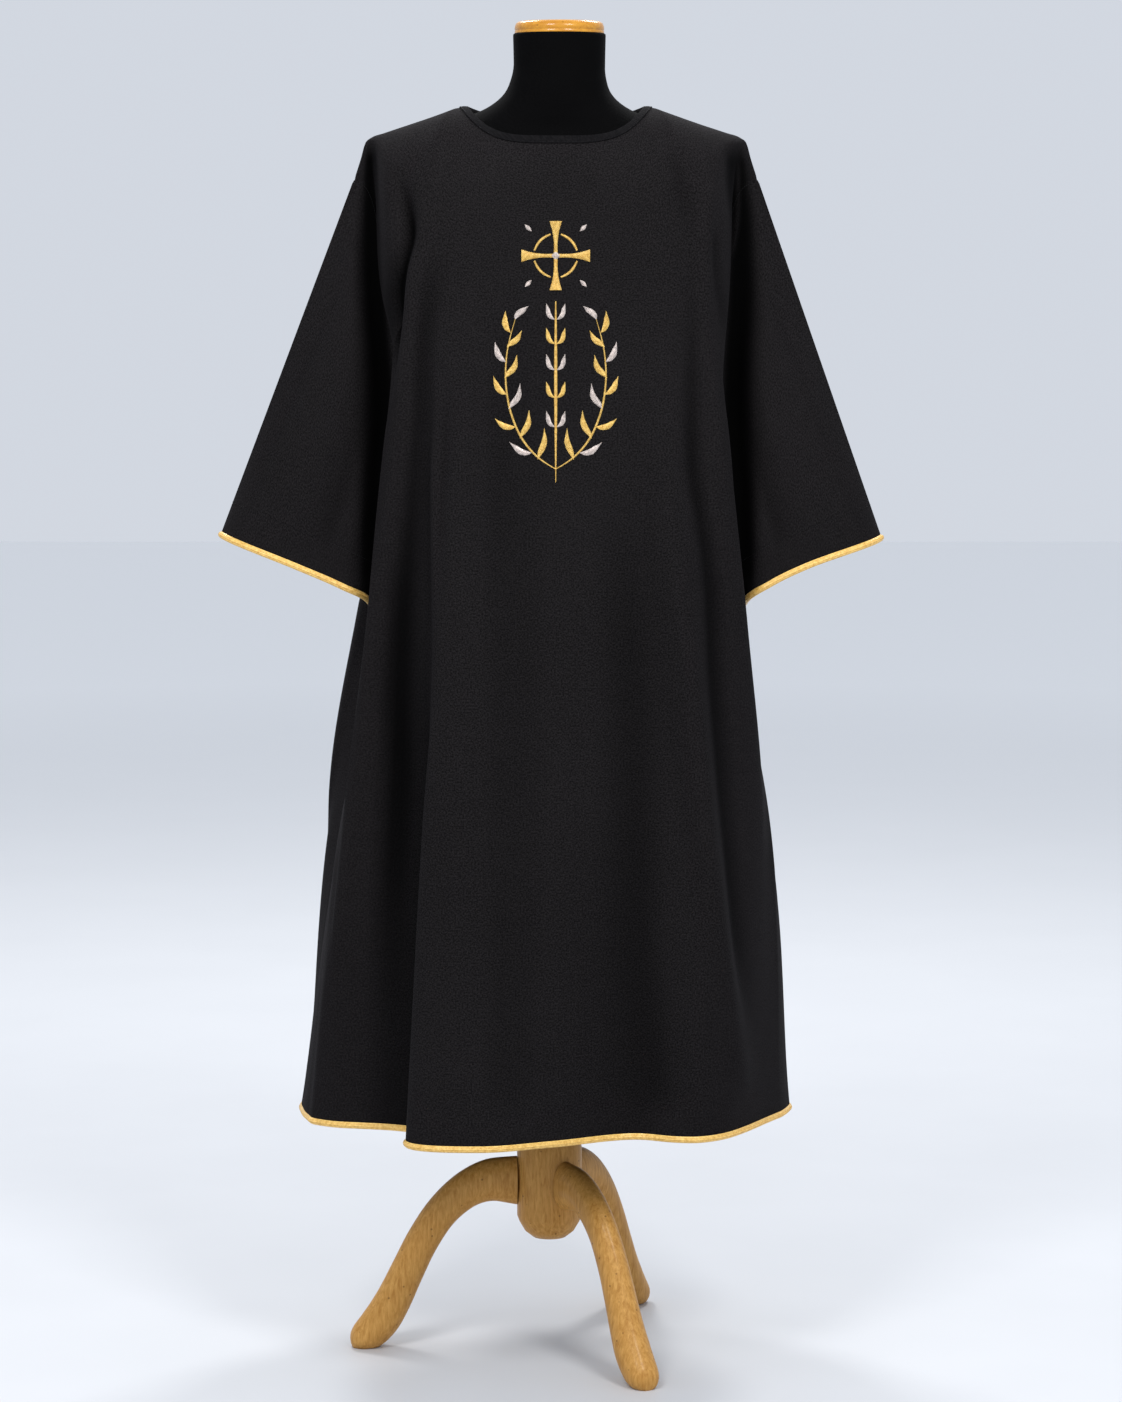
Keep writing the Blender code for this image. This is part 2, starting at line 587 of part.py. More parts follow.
def neck_binding_sections(front, back, normals, surface):
    """The folded binding's section at each place round the neckline."""
    stations = both_sides(STATIONS)
    opening = np.flatnonzero(abs(stations) <= SHOULDER[0].station)
    edge = np.concatenate([front[0, opening], back[0, opening[-2:0:-1]]])
    up = np.concatenate([normals["front"][0, opening], normals["back"][0, opening[-2:0:-1]]])
    # The two shoulder ends lie half way between the front and the back.
    for place, column in ((0, opening[0]), (len(opening) - 1, opening[-1])):
        edge[place] = (front[0, column] + back[0, column]) / 2
    along = np.roll(edge, -1, axis=0) - np.roll(edge, 1, axis=0)
    away = np.stack([-along[:, 1], along[:, 0], np.zeros(len(along))], axis=1)
    away /= np.linalg.norm(away, axis=1, keepdims=True)
    away *= np.sign((away * (edge - edge.mean(axis=0))).sum(axis=1))[:, None]
    near, far = BINDING_GAP, BINDING_GAP + BINDING_CLOTH
    edge, up, away = (with_closer_points(values, (0, len(opening) - 1))
                      for values in (edge, up, away))
    sections = []
    for start, normal, out in zip(edge, up, away):
        middle, middle_up = lay_on(surface, start, out, BINDING_WIDTH / 2)
        end, end_up = lay_on(surface, start, out, BINDING_WIDTH)
        inward = start - middle
        inward /= np.linalg.norm(inward)
        sections.append([
            end + end_up * far, middle + middle_up * far,
            start + inward * far + normal * far, start + inward * far - normal * (CLOTH + far),
            middle - middle_up * (CLOTH + far), end - end_up * (CLOTH + far),
            end - end_up * (CLOTH + near), middle - middle_up * (CLOTH + near),
            start + inward * near - normal * (CLOTH + near), start + inward * near + normal * near,
            middle + middle_up * near, end + end_up * near,
        ])
    return np.array(sections)


def form_sections():
    """Rings of the torso and neck, lower at the front than over the shoulders."""
    angles = np.arange(RING_SIDES) * 2 * math.pi / RING_SIDES
    rings = []
    for ring in FORM_RINGS:
        lean = (ring.side_height - LEAN_START) / (LEAN_END - LEAN_START)
        lean = min(max(lean, 0.0), 1.0)
        axis = FORM_AXIS + (NECK_AXIS - FORM_AXIS) * lean
        lift = (ring.side_height - ring.middle_height) * np.cos(angles) ** 2
        rings.append(np.stack([
            axis + ring.half_width * np.cos(angles),
            ring.half_depth * np.sin(angles),
            ring.middle_height + lift,
        ], axis=1))
    return np.array(rings)


def leg_sections(direction):
    """Rounded sections of one leg, with its sole cut flat on the floor."""
    heading = math.radians(direction)
    ahead = np.array([math.sin(heading), -math.cos(heading), 0.0])
    aside = np.array([math.cos(heading), math.sin(heading), 0.0])
    up = np.array([0.0, 0.0, 1.0])
    angles = np.arange(LEG_SIDES) * 2 * math.pi / LEG_SIDES
    sections = []
    for part in LEG_SECTIONS:
        lean = math.radians(part.lean)
        rise = up * math.cos(lean) - ahead * math.sin(lean)
        centre = ahead * part.reach + up * part.height + (*STAND_AXIS, 0.0)
        section = np.array([
            centre + aside * part.half_width * math.cos(angle)
            + rise * part.half_height * math.sin(angle) for angle in angles
        ])
        section[:, 2] = section[:, 2].clip(0.0)
        sections.append(section)
    return np.array(sections)


def build_garment(cloth, binding_cloth, gold, collection):
    """The dalmatic: panels, sleeves, neck binding and piping."""
    front, back, right_sleeve, left_sleeve = cut_panels()
    surface = panel_surface(front, back)
    normals = sew_panels(front, back, right_sleeve, left_sleeve)
    for name, points, key, closed in (
        ("front_panel", front, "front", False),
        ("back_panel", back, "back", False),
        ("sleeve_right", right_sleeve, "right", True),
        ("sleeve_left", left_sleeve, "left", True),
    ):
        link(name, cloth_wall(name, points, normals[key], closed), cloth, collection)
    binding = swept_ring("neck_binding", neck_binding_sections(front, back, normals, surface))
    link("neck_binding", binding, binding_cloth, collection)
    hem = hem_loop(front, back, normals) - (0.0, 0.0, PIPING_RADIUS + 2 * SEAM_GAP)
    round_cord("hem_piping", hem, gold, collection)
    for name, points, key in (("cuff_piping_right", right_sleeve, "right"),
                              ("cuff_piping_left", left_sleeve, "left")):
        round_cord(name, cuff_loop(points, normals[key]), gold, collection)


def build_form(jersey, wood, steel, collection):
    """The dress form: torso, neck cap, pole, hub and three legs."""
    link("form_torso", capped_loft("form_torso", form_sections()), jersey, collection)
    turned("neck_cap", CAP_PROFILE, (NECK_AXIS, 0.0), NECK_TOP + SEAM_GAP, wood, collection)
    top, bottom = TORSO_BOTTOM - SEAM_GAP, HUB_PROFILE[0][1] + SEAM_GAP
    turned("form_pole", ((POLE_RADIUS, top), (POLE_RADIUS, bottom)), STAND_AXIS, 0.0, steel,
           collection)
    turned("stand_hub", HUB_PROFILE, STAND_AXIS, 0.0, wood, collection)
    for name, direction in LEG_DIRECTIONS:
        link(name, capped_loft(name, leg_sections(direction)), wood, collection)


def main():
    clear_scene()
    collection = bpy.data.collections.new("dalmatic_on_dress_form")
    bpy.context.scene.collection.children.link(collection)
    cloth = make_material("black_wool", (0.012, 0.012, 0.013), 0.85)
    binding_cloth = make_material("black_bias", (0.010, 0.010, 0.011), 0.80)
    gold = make_material("gold_piping", (0.78, 0.50, 0.12), 0.35, 0.6)
    jersey = make_material("black_jersey", (0.008, 0.008, 0.009), 0.90)
    wood = make_material("varnished_beech", (0.62, 0.33, 0.08), 0.30)
    steel = make_material("pole_steel", (0.45, 0.45, 0.46), 0.35, 1.0)
    build_garment(cloth, binding_cloth, gold, collection)
    build_form(jersey, wood, steel, collection)


main()
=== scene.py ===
"""A black dalmatic on its dress form, with the cloth, trimming and stand finished for a close look.

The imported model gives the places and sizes. This script lays fine cloth over its sections, with
the folds, seams, stitches, piping and embroidery that a vestment has, and finishes the form and
its stand. Metres, Z up, with the wearer's right at -X and the front at -Y.
"""

import logging
import math
from dataclasses import dataclass, field, replace
from enum import Enum

import bmesh
import bpy
import numpy as np
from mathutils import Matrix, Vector
from mathutils.bvhtree import BVHTree


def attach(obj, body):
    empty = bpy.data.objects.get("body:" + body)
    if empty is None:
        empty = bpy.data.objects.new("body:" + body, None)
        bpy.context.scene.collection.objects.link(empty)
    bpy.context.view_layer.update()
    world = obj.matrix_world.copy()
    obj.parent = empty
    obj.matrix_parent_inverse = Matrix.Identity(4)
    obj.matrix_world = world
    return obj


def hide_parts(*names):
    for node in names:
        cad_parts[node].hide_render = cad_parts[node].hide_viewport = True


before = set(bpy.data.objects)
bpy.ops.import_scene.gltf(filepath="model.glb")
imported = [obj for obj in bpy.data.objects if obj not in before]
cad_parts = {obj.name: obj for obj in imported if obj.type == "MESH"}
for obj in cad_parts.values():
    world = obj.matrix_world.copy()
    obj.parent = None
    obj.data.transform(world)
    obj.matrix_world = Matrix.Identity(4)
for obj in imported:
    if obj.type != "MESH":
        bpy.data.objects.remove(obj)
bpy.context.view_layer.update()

log = logging.getLogger("dalmatic")
Array = np.ndarray
Material = bpy.types.Material
Mesh = bpy.types.Mesh
Socket = bpy.types.NodeSocket
Value = float | tuple | Socket

# ---- sizes that several parts share ----------------------
MM = 1000                 # millimetres in a metre
CLOTH = 0.002             # wall of the wool
SEAM_GAP = 0.0003         # between two pieces of the form that touch
FORM_AXIS = 0.0045        # x of the garment's middle
NECK_HALF_WIDTH = 0.112
NECK_HEIGHT = 1.5963      # of the neckline at the shoulders
NECK_STATION = 0.575      # where the neckline ends and the shoulder seam starts
PANELS = ("front", "back")
SLEEVES = ("right", "left")
OUTWARD = {"front": 1.0, "back": -1.0, "right": -1.0, "left": 1.0}  # sign of a grid's normals


class Side(Enum):
    """Which of the two panels something belongs to."""

    FRONT = -1
    BACK = 1


# ---- how the cloth hangs ---------------------------------
@dataclass(frozen=True)
class PanelForm:
    """How one panel hangs.

    The centre and the guides are in millimetres, a row for each of LEVELS. The guides of a half
    are (out, deep), from beside the centre to the seam.
    """

    side: Side
    neck: tuple        # the neckline's depth, its drop, and the curve of the drop
    centre: tuple      # how deep the panel's centre lies
    right: tuple
    left: tuple


LEVELS = (1.38, 1.28, 1.12, 0.95, 0.7, 0.322)
GUIDE_STATIONS = (0.0, 0.28, 0.5, NECK_STATION, 0.63, 0.69, 0.87, 1.0)
FORMS = {
    "front": PanelForm(
        Side.FRONT, (0.09, 0.0383, 1.2), (130, 139, 150, 168, 192, 225), (
            ((78, 131), (141, 124), (161, 117), (175, 110), (194, 98), (220, 60), (215, 28)),
            ((76, 141), (142, 134), (159, 125), (175, 117), (199, 100), (198, 55), (193, 18)),
            ((73, 158), (146, 150), (156, 134), (178, 124), (217, 105), (200, 52), (181, 0)),
            ((71, 184), (145, 170), (153, 145), (179, 128), (233, 106), (215, 52), (181, 0)),
            ((73, 215), (161, 195), (151, 152), (183, 128), (264, 100), (268, 55), (263, 0)),
            ((93, 256), (182, 215), (153, 160), (198, 128), (278, 107), (313, 62), (325, 0)),
        ), (
            ((87, 131), (147, 124), (167, 117), (183, 110), (197, 102), (224, 66), (217, 30)),
            ((87, 140), (149, 132), (167, 125), (185, 118), (210, 104), (215, 60), (200, 20)),
            ((85, 152), (155, 148), (173, 142), (195, 132), (227, 108), (211, 52), (183, 0)),
            ((82, 166), (165, 168), (183, 160), (207, 142), (245, 98), (230, 50), (183, 0)),
            ((79, 182), (187, 190), (207, 176), (231, 148), (267, 85), (276, 45), (270, 0)),
            ((104, 180), (175, 200), (217, 176), (243, 138), (270, 88), (297, 36), (307, 0)),
        ),
    ),
    "back": PanelForm(
        Side.BACK, (0.076, 0.012, 1.2), (128, 131, 136, 148, 172, 208), (
            ((78, 128), (141, 120), (161, 112), (175, 106), (196, 92), (220, 58), (215, 28)),
            ((76, 133), (142, 127), (159, 120), (175, 113), (200, 98), (199, 55), (193, 18)),
            ((73, 144), (143, 142), (163, 134), (187, 124), (218, 104), (202, 52), (181, 0)),
            ((71, 165), (150, 160), (172, 146), (196, 134), (254, 101), (232, 50), (181, 0)),
            ((73, 200), (163, 185), (182, 162), (212, 144), (291, 92), (286, 48), (263, 0)),
            ((93, 252), (172, 215), (200, 176), (236, 150), (293, 102), (318, 52), (325, 0)),
        ), (
            ((87, 128), (147, 120), (167, 112), (183, 105), (199, 94), (223, 60), (217, 30)),
            ((87, 134), (149, 128), (167, 122), (185, 114), (209, 98), (211, 56), (200, 20)),
            ((85, 146), (155, 142), (173, 134), (195, 122), (224, 102), (210, 52), (183, 0)),
            ((82, 168), (160, 156), (180, 142), (205, 132), (240, 98), (228, 50), (183, 0)),
            ((79, 205), (172, 180), (192, 160), (222, 144), (262, 88), (272, 46), (270, 0)),
            ((95, 250), (182, 196), (208, 172), (240, 140), (272, 92), (299, 40), (307, 0)),
        ),
    ),
}
# The shoulder seam, as (station, out, height).
SHOULDER = (
    (NECK_STATION, NECK_HALF_WIDTH, NECK_HEIGHT), (0.63, 0.145, 1.5861), (0.69, 0.175, 1.5769),
    (0.81, 0.215, 1.5647), (0.87, 0.233, 1.559), (0.9, 0.24, 1.5535),
    (0.94, 0.2462, 1.533), (1.0, 0.255, 1.506),
)
# Half of each cuff, from its outer fold at 0 to its underarm fold at 1, as (share, out, deep, up).
CUFFS = {
    "right": ((0.0, 0.4205, 0.0, 1.0625), (0.02, 0.4187, 0.0048, 1.0618),
              (0.48, 0.322, 0.05, 1.0255), (0.76, 0.264, 0.052, 1.0005),
              (0.91, 0.2345, 0.036, 0.985), (1.0, 0.2285, 0.0, 0.9735)),
    "left": ((0.0, 0.4175, 0.0, 1.0585), (0.02, 0.4157, 0.0048, 1.0578),
             (0.48, 0.32, 0.05, 1.026), (0.74, 0.2745, 0.051, 1.004),
             (0.91, 0.246, 0.036, 0.985), (1.0, 0.24, 0.0, 0.972)),
}


# ---- folds -----------------------------------------------
@dataclass(frozen=True)
class Crease:
    """A soft ridge (positive rise) or trough (negative) down a panel, in millimetres."""

    rise: float        # at its strongest
    before: float      # half width towards -X
    after: float       # half width towards +X
    ends: tuple        # the lengths over which it grows in and dies out
    path: tuple        # (x, height) from its upper end to its lower end
    shade: float = 1.0  # how much darker its painted shade is, against its rise


# A crease's last value, where given, strengthens its painted shade.
CREASES = {
    "front": (
        Crease(-17, 11, 12, (90, 60), ((-196, 1530), (-184, 1480), (-180, 1440), (-192, 1393),
            (-200, 1330), (-209, 1270), (-218, 1200))),
        Crease(6, 10, 11, (80, 140), ((-158, 1480), (-174, 1393), (-180, 1330), (-196, 1205),
            (-208, 1079), (-221, 953), (-236, 829), (-251, 702), (-269, 576), (-296, 449))),
        Crease(-8.5, 18, 25, (140, 500), ((-138, 1455), (-147, 1393), (-162, 1330), (-172, 1205),
            (-182, 1079), (-190, 985), (-196, 891), (-198, 765), (-205, 639), (-211, 513),
            (-209, 360)), 1.4),
        Crease(-7, 12, 9, (60, 100), ((-250, 900), (-256, 830), (-271, 720), (-286, 620)), 2.2),
        # Mostly painted shade: a shallow trough whose colour is painted much darker.
        Crease(-2, 14, 13, (100, 30), ((-206, 1455), (-203, 1400), (-206, 1340),
            (-213, 1270)), 12.0),
        Crease(5, 24, 26, (140, 60), ((-107, 1400), (-108, 1220), (-112, 1090), (-114, 960),
            (-122, 700), (-126, 360))),
        Crease(-4.8, 12, 4, (100, 160), ((-128, 1290), (-130.5, 1150), (-137, 1040), (-145, 930))),
        Crease(-6.2, 36, 42, (240, 50), ((-60, 1400), (-60, 1150), (-55, 868), (-58, 620),
            (-60, 335))),
        Crease(4, 34, 36, (240, 50), ((16, 1180), (17, 868), (18, 640), (10, 335))),
        Crease(-6.8, 40, 34, (260, 40), ((74, 1180), (90, 1010), (100, 850), (104, 700), (108, 550),
            (124, 420), (138, 335))),
        Crease(9, 14, 17, (160, 50), ((140, 1240), (143, 1137), (148, 1038), (158, 965), (170, 866),
            (183, 743), (202, 618), (228, 449), (242, 350))),
        Crease(-11.5, 15, 20, (300, 180), ((172, 1440), (178, 1330), (178, 1205), (181, 1142),
            (192, 1079), (200, 1016), (207, 891), (218, 765), (230, 639), (241, 513), (252, 400))),
        Crease(6, 9, 9, (60, 100), ((196, 1520), (190, 1393), (196, 1268), (209, 1205),
            (223, 1079))),
        Crease(-4, 12, 14, (30, 60), ((150, 1545), (163, 1490), (170, 1430))),
        # Mostly painted shade: a shallow trough whose colour is painted much darker.
        Crease(-2, 8, 12, (40, 50), ((200, 1462), (200.5, 1444), (201.5, 1420), (204, 1394),
            (210.5, 1357), (216.5, 1320), (219, 1285)), 8.0),
    ),
    "back": (
        Crease(-6, 10, 14, (30, 70), ((-150, 1540), (-166, 1470), (-170, 1400))),
        Crease(-9, 18, 20, (140, 140), ((-140, 1440), (-158, 1320), (-172, 1190), (-180, 1050),
            (-192, 860), (-205, 620), (-214, 400))),
        Crease(6, 28, 26, (160, 50), ((-100, 1340), (-104, 1150), (-110, 940), (-118, 640),
            (-124, 340))),
        Crease(-7, 40, 42, (260, 50), ((-30, 1360), (-36, 1100), (-44, 800), (-46, 340))),
        Crease(4.5, 34, 36, (240, 50), ((30, 1240), (30, 960), (26, 660), (22, 340))),
        Crease(-8, 36, 34, (260, 50), ((80, 1300), (92, 1000), (104, 700), (122, 340))),
        Crease(9, 15, 16, (160, 50), ((136, 1330), (146, 1160), (152, 980), (166, 760), (186, 520),
            (200, 340))),
        Crease(-11, 15, 16, (160, 180), ((178, 1440), (184, 1260), (192, 1080), (202, 900),
            (220, 600))),
        Crease(-5, 12, 12, (30, 60), ((156, 1545), (168, 1480), (176, 1410))),
    ),
}


@dataclass(frozen=True)
class Valley:
    """The furrow between a sleeve and the body, pushed in towards the garment's middle and painted
    dark as shadow.
    """

    side: int
    rows: tuple        # (height, out, half width, depth)
    ridge: tuple = ()  # (height, out, half width, share): a soft ridge that stands in it, where its painted shadow is lifted too

    def across(self, rows: tuple, points: Array, wider: float = 1.0) -> tuple:
        """How many half widths each point lies off the line of these rows, and their last value."""
        out, width, last = read_down(np.array(rows), points[..., 2])
        return (points[..., 0] * self.side - out) / (wider * width), last

    def openness(self, points: Array) -> Array | float:
        """How much of the furrow its ridge leaves open at each point.

        Args:
            points: a grid of points.

        Returns:
            A share for each point, or 1 for a furrow with no ridge.
        """
        if not self.ridge:
            return 1.0
        off, share = self.across(self.ridge, points)
        return 1 - share * np.exp(-(off**2))


VALLEYS = (
    Valley(-1, ((1.556, 0.227, 0.006, 0.0), (1.54, 0.2275, 0.008, 0.016),
                (1.5, 0.2276, 0.011, 0.03), (1.44, 0.2276, 0.013, 0.038),
                (1.356, 0.2238, 0.015, 0.04), (1.23, 0.2165, 0.016, 0.036),
                (1.11, 0.224, 0.014, 0.022), (1.0, 0.231, 0.011, 0.0))),
    Valley(1, ((1.552, 0.229, 0.009, 0.0), (1.536, 0.23, 0.013, 0.016),
               (1.5, 0.2325, 0.0165, 0.03), (1.44, 0.2385, 0.0165, 0.038),
               (1.356, 0.2375, 0.018, 0.04), (1.23, 0.232, 0.0175, 0.036),
               (1.11, 0.2395, 0.0145, 0.024), (1.0, 0.245, 0.01, 0.0)),
           ((1.54, 0.2336, 0.0032, 0.0), (1.515, 0.234, 0.0032, 0.42),
            (1.48, 0.234, 0.0032, 0.5), (1.45, 0.2325, 0.0032, 0.5),
            (1.428, 0.229, 0.0032, 0.4), (1.405, 0.226, 0.0032, 0.0))),
)


@dataclass(frozen=True)
class SleeveFold:
    """A soft drag fold in a sleeve, from the shoulder towards the cuff."""

    share: float       # where it lies round half the sleeve, 0 at the outer fold
    rise: float
    width: float       # half width, as a share of half the sleeve
    drift: float       # how far it moves round towards the cuff
    start: float
    end: float


SLEEVE_FOLDS = {
    "front": (SleeveFold(0.2, -0.0022, 0.06, 0.05, 0.12, 0.95),
              SleeveFold(0.42, 0.003, 0.075, 0.06, 0.05, 0.9),
              SleeveFold(0.6, -0.0034, 0.06, 0.02, 0.2, 0.98),
              SleeveFold(0.78, 0.0026, 0.05, -0.04, 0.3, 0.98)),
    "back": (SleeveFold(0.24, -0.0028, 0.07, 0.04, 0.1, 0.92),
             SleeveFold(0.48, 0.0034, 0.08, 0.05, 0.08, 0.9),
             SleeveFold(0.69, -0.0036, 0.065, 0.0, 0.22, 0.97)),
}


@dataclass(frozen=True)
class PaintedFoldShade:
    """Painted shade: how much darker the cloth's colour is painted in its folds, hollows and
    furrows, and how much lighter where it faces up.
    """

    black_depth: float = 0.034     # depth of a trough whose colour is painted fully black
    trough: tuple = (-0.2, 0.88)   # least and most painted shade from the rise of the creases
    # Painted shade in hollows: passes that even the surface out, and the depth below it that is
    # painted dark in full.
    dips: tuple = ((14, 0.0045), (90, 0.016))
    dip: tuple = (-0.35, 1.0)      # least and most of one such depth
    dip_share: float = 0.36
    furrow: float = 0.88           # the part of a furrow's half width that is painted dark
    body_edge: tuple = (0.94, 6)   # reach and steepness of its edge at the body
    sleeve_edge: tuple = (0.86, 4)  # and at the sleeve
    furrow_dark: float = 0.98
    furrow_top: float = 0.025      # the length over which a furrow's painted shade starts
    furrow_end: float = 0.965      # the height where it has gone
    furrow_fade: float = 0.05
    plane: tuple = (0.075, 0.03)   # how far from the middle plane it reaches on a panel
    painted_top_light: float = 0.16        # painted light: how much lighter the colour is painted where the cloth faces up
    top_slopes: tuple = (0.26, 0.6)


# ---- small maths -----------------------------------------
def smooth(knots: Array, values: Array, at: Array) -> Array:
    """Values on the smooth curve through the knots, which never overshoots them.

    Args:
        knots: rising places of the known values.
        values: the value, or row of values, at each knot.
        at: the places to read.

    Returns:
        One value, or row of values, for each place.
    """
    knots, values, at = (np.asarray(each, float) for each in (knots, values, at))
    steps = np.diff(knots)
    wide = (slice(None),) + (None,) * (values.ndim - 1)
    slopes = np.diff(values, axis=0) / steps[wide]
    turns = np.concatenate([slopes[:1], slopes])
    turns[1:-1] = (
        (slopes[:-1] * steps[1:][wide] + slopes[1:] * steps[:-1][wide])
        / (steps[:-1] + steps[1:])[wide]
    )
    most = 3 * np.minimum(abs(slopes[:-1]), abs(slopes[1:]))
    most[slopes[:-1] * slopes[1:] <= 0] = 0.0
    turns[1:-1] = np.clip(turns[1:-1], -most, most)
    cell = np.clip(np.searchsorted(knots, at, side="right") - 1, 0, len(steps) - 1)
    share = ((at - knots[cell]) / steps[cell])[wide]
    span = steps[cell][wide]
    return (
        (2 * share**3 - 3 * share**2 + 1) * values[cell]
        + (share**3 - 2 * share**2 + share) * span * turns[cell]
        + (3 * share**2 - 2 * share**3) * values[cell + 1]
        + (share**3 - share**2) * span * turns[cell + 1]
    )


def read(rows: tuple, at: Array) -> Array:
    """Read a table at these places; each of its rows starts with its own place."""
    table = np.array(rows, float)
    return smooth(table[:, 0], table[:, 1:], at)


def read_down(table: Array, heights: Array) -> Array:
    """Read a table whose rows start with falling heights: a grid of values for each column.

    Args:
        table: its rows.
        heights: where to read it.

    Returns:
        One grid for each column after the first.
    """
    flat = -heights.ravel().clip(table[-1, 0], table[0, 0])
    values = smooth(-table[:, 0], table[:, 1:], flat)
    return values.T.reshape((-1,) + heights.shape)


def ramp(value: Array, low: float, high: float) -> Array:
    """0 below low, 1 above high, and a soft step between them."""
    share = np.clip((np.asarray(value, float) - low) / (high - low), 0.0, 1.0)
    return share * share * (3 - 2 * share)


def both_sides(half: Array) -> Array:
    """Stations over the whole panel, from the wearer's right seam to the left one."""
    return np.concatenate([-half[:0:-1], half])


def unit(vectors: Array) -> Array:
    """The vectors at length one."""
    return vectors / np.linalg.norm(vectors, axis=-1, keepdims=True)


def without(vectors: Array, normals: Array) -> Array:
    """The vectors, less their share along the normals."""
    return vectors - (vectors * normals).sum(axis=-1, keepdims=True) * normals


def strides(points: Array, ring: bool) -> Array:
    """The run of a line or grid at each of its rows; a ring's last row joins its first.

    Args:
        points: the line or grid.
        ring: whether it is a ring.

    Returns:
        A vector for each point.
    """
    if ring:
        return np.roll(points, -1, axis=0) - np.roll(points, 1, axis=0)
    return np.gradient(points, axis=0)


def tangents(points: Array, ring: bool) -> Array:
    """The direction of a line at each of its points."""
    return unit(strides(points, ring))


def eased(points: Array, passes: int, ring: bool = False) -> Array:
    """A line or grid once its rows have moved halfway to their neighbours' mean, each pass.

    Args:
        points: the line or grid.
        passes: how often it is done.
        ring: whether its last row joins its first.

    Returns:
        The eased points.
    """
    points = points.copy()
    for _ in range(passes):
        if ring:
            points = points / 2 + (np.roll(points, 1, axis=0) + np.roll(points, -1, axis=0)) / 4
        else:
            points[1:-1] = points[1:-1] / 2 + (points[:-2] + points[2:]) / 4
    return points


def run_lengths(points: Array, axis: int) -> Array:
    """The length along a line or grid up to each of its points, from 0.

    Args:
        points: the line or grid.
        axis: the axis to run along.

    Returns:
        A length for each point.
    """
    steps = np.linalg.norm(np.diff(points, axis=axis), axis=-1)
    start = np.zeros_like(np.take(steps, [0], axis=axis))
    return np.concatenate([start, steps.cumsum(axis=axis)], axis=axis)


def circle(count: int) -> Array:
    """Even angles round a whole turn."""
    return np.arange(count) * 2 * math.pi / count


def grid_normals(name: str, points: Array) -> Array:
    """Unit normals of a piece's grid of points, out of the cloth."""
    down, across = strides(points, name in SLEEVES), np.gradient(points, axis=1)
    return unit(np.cross(down, across) * OUTWARD[name])


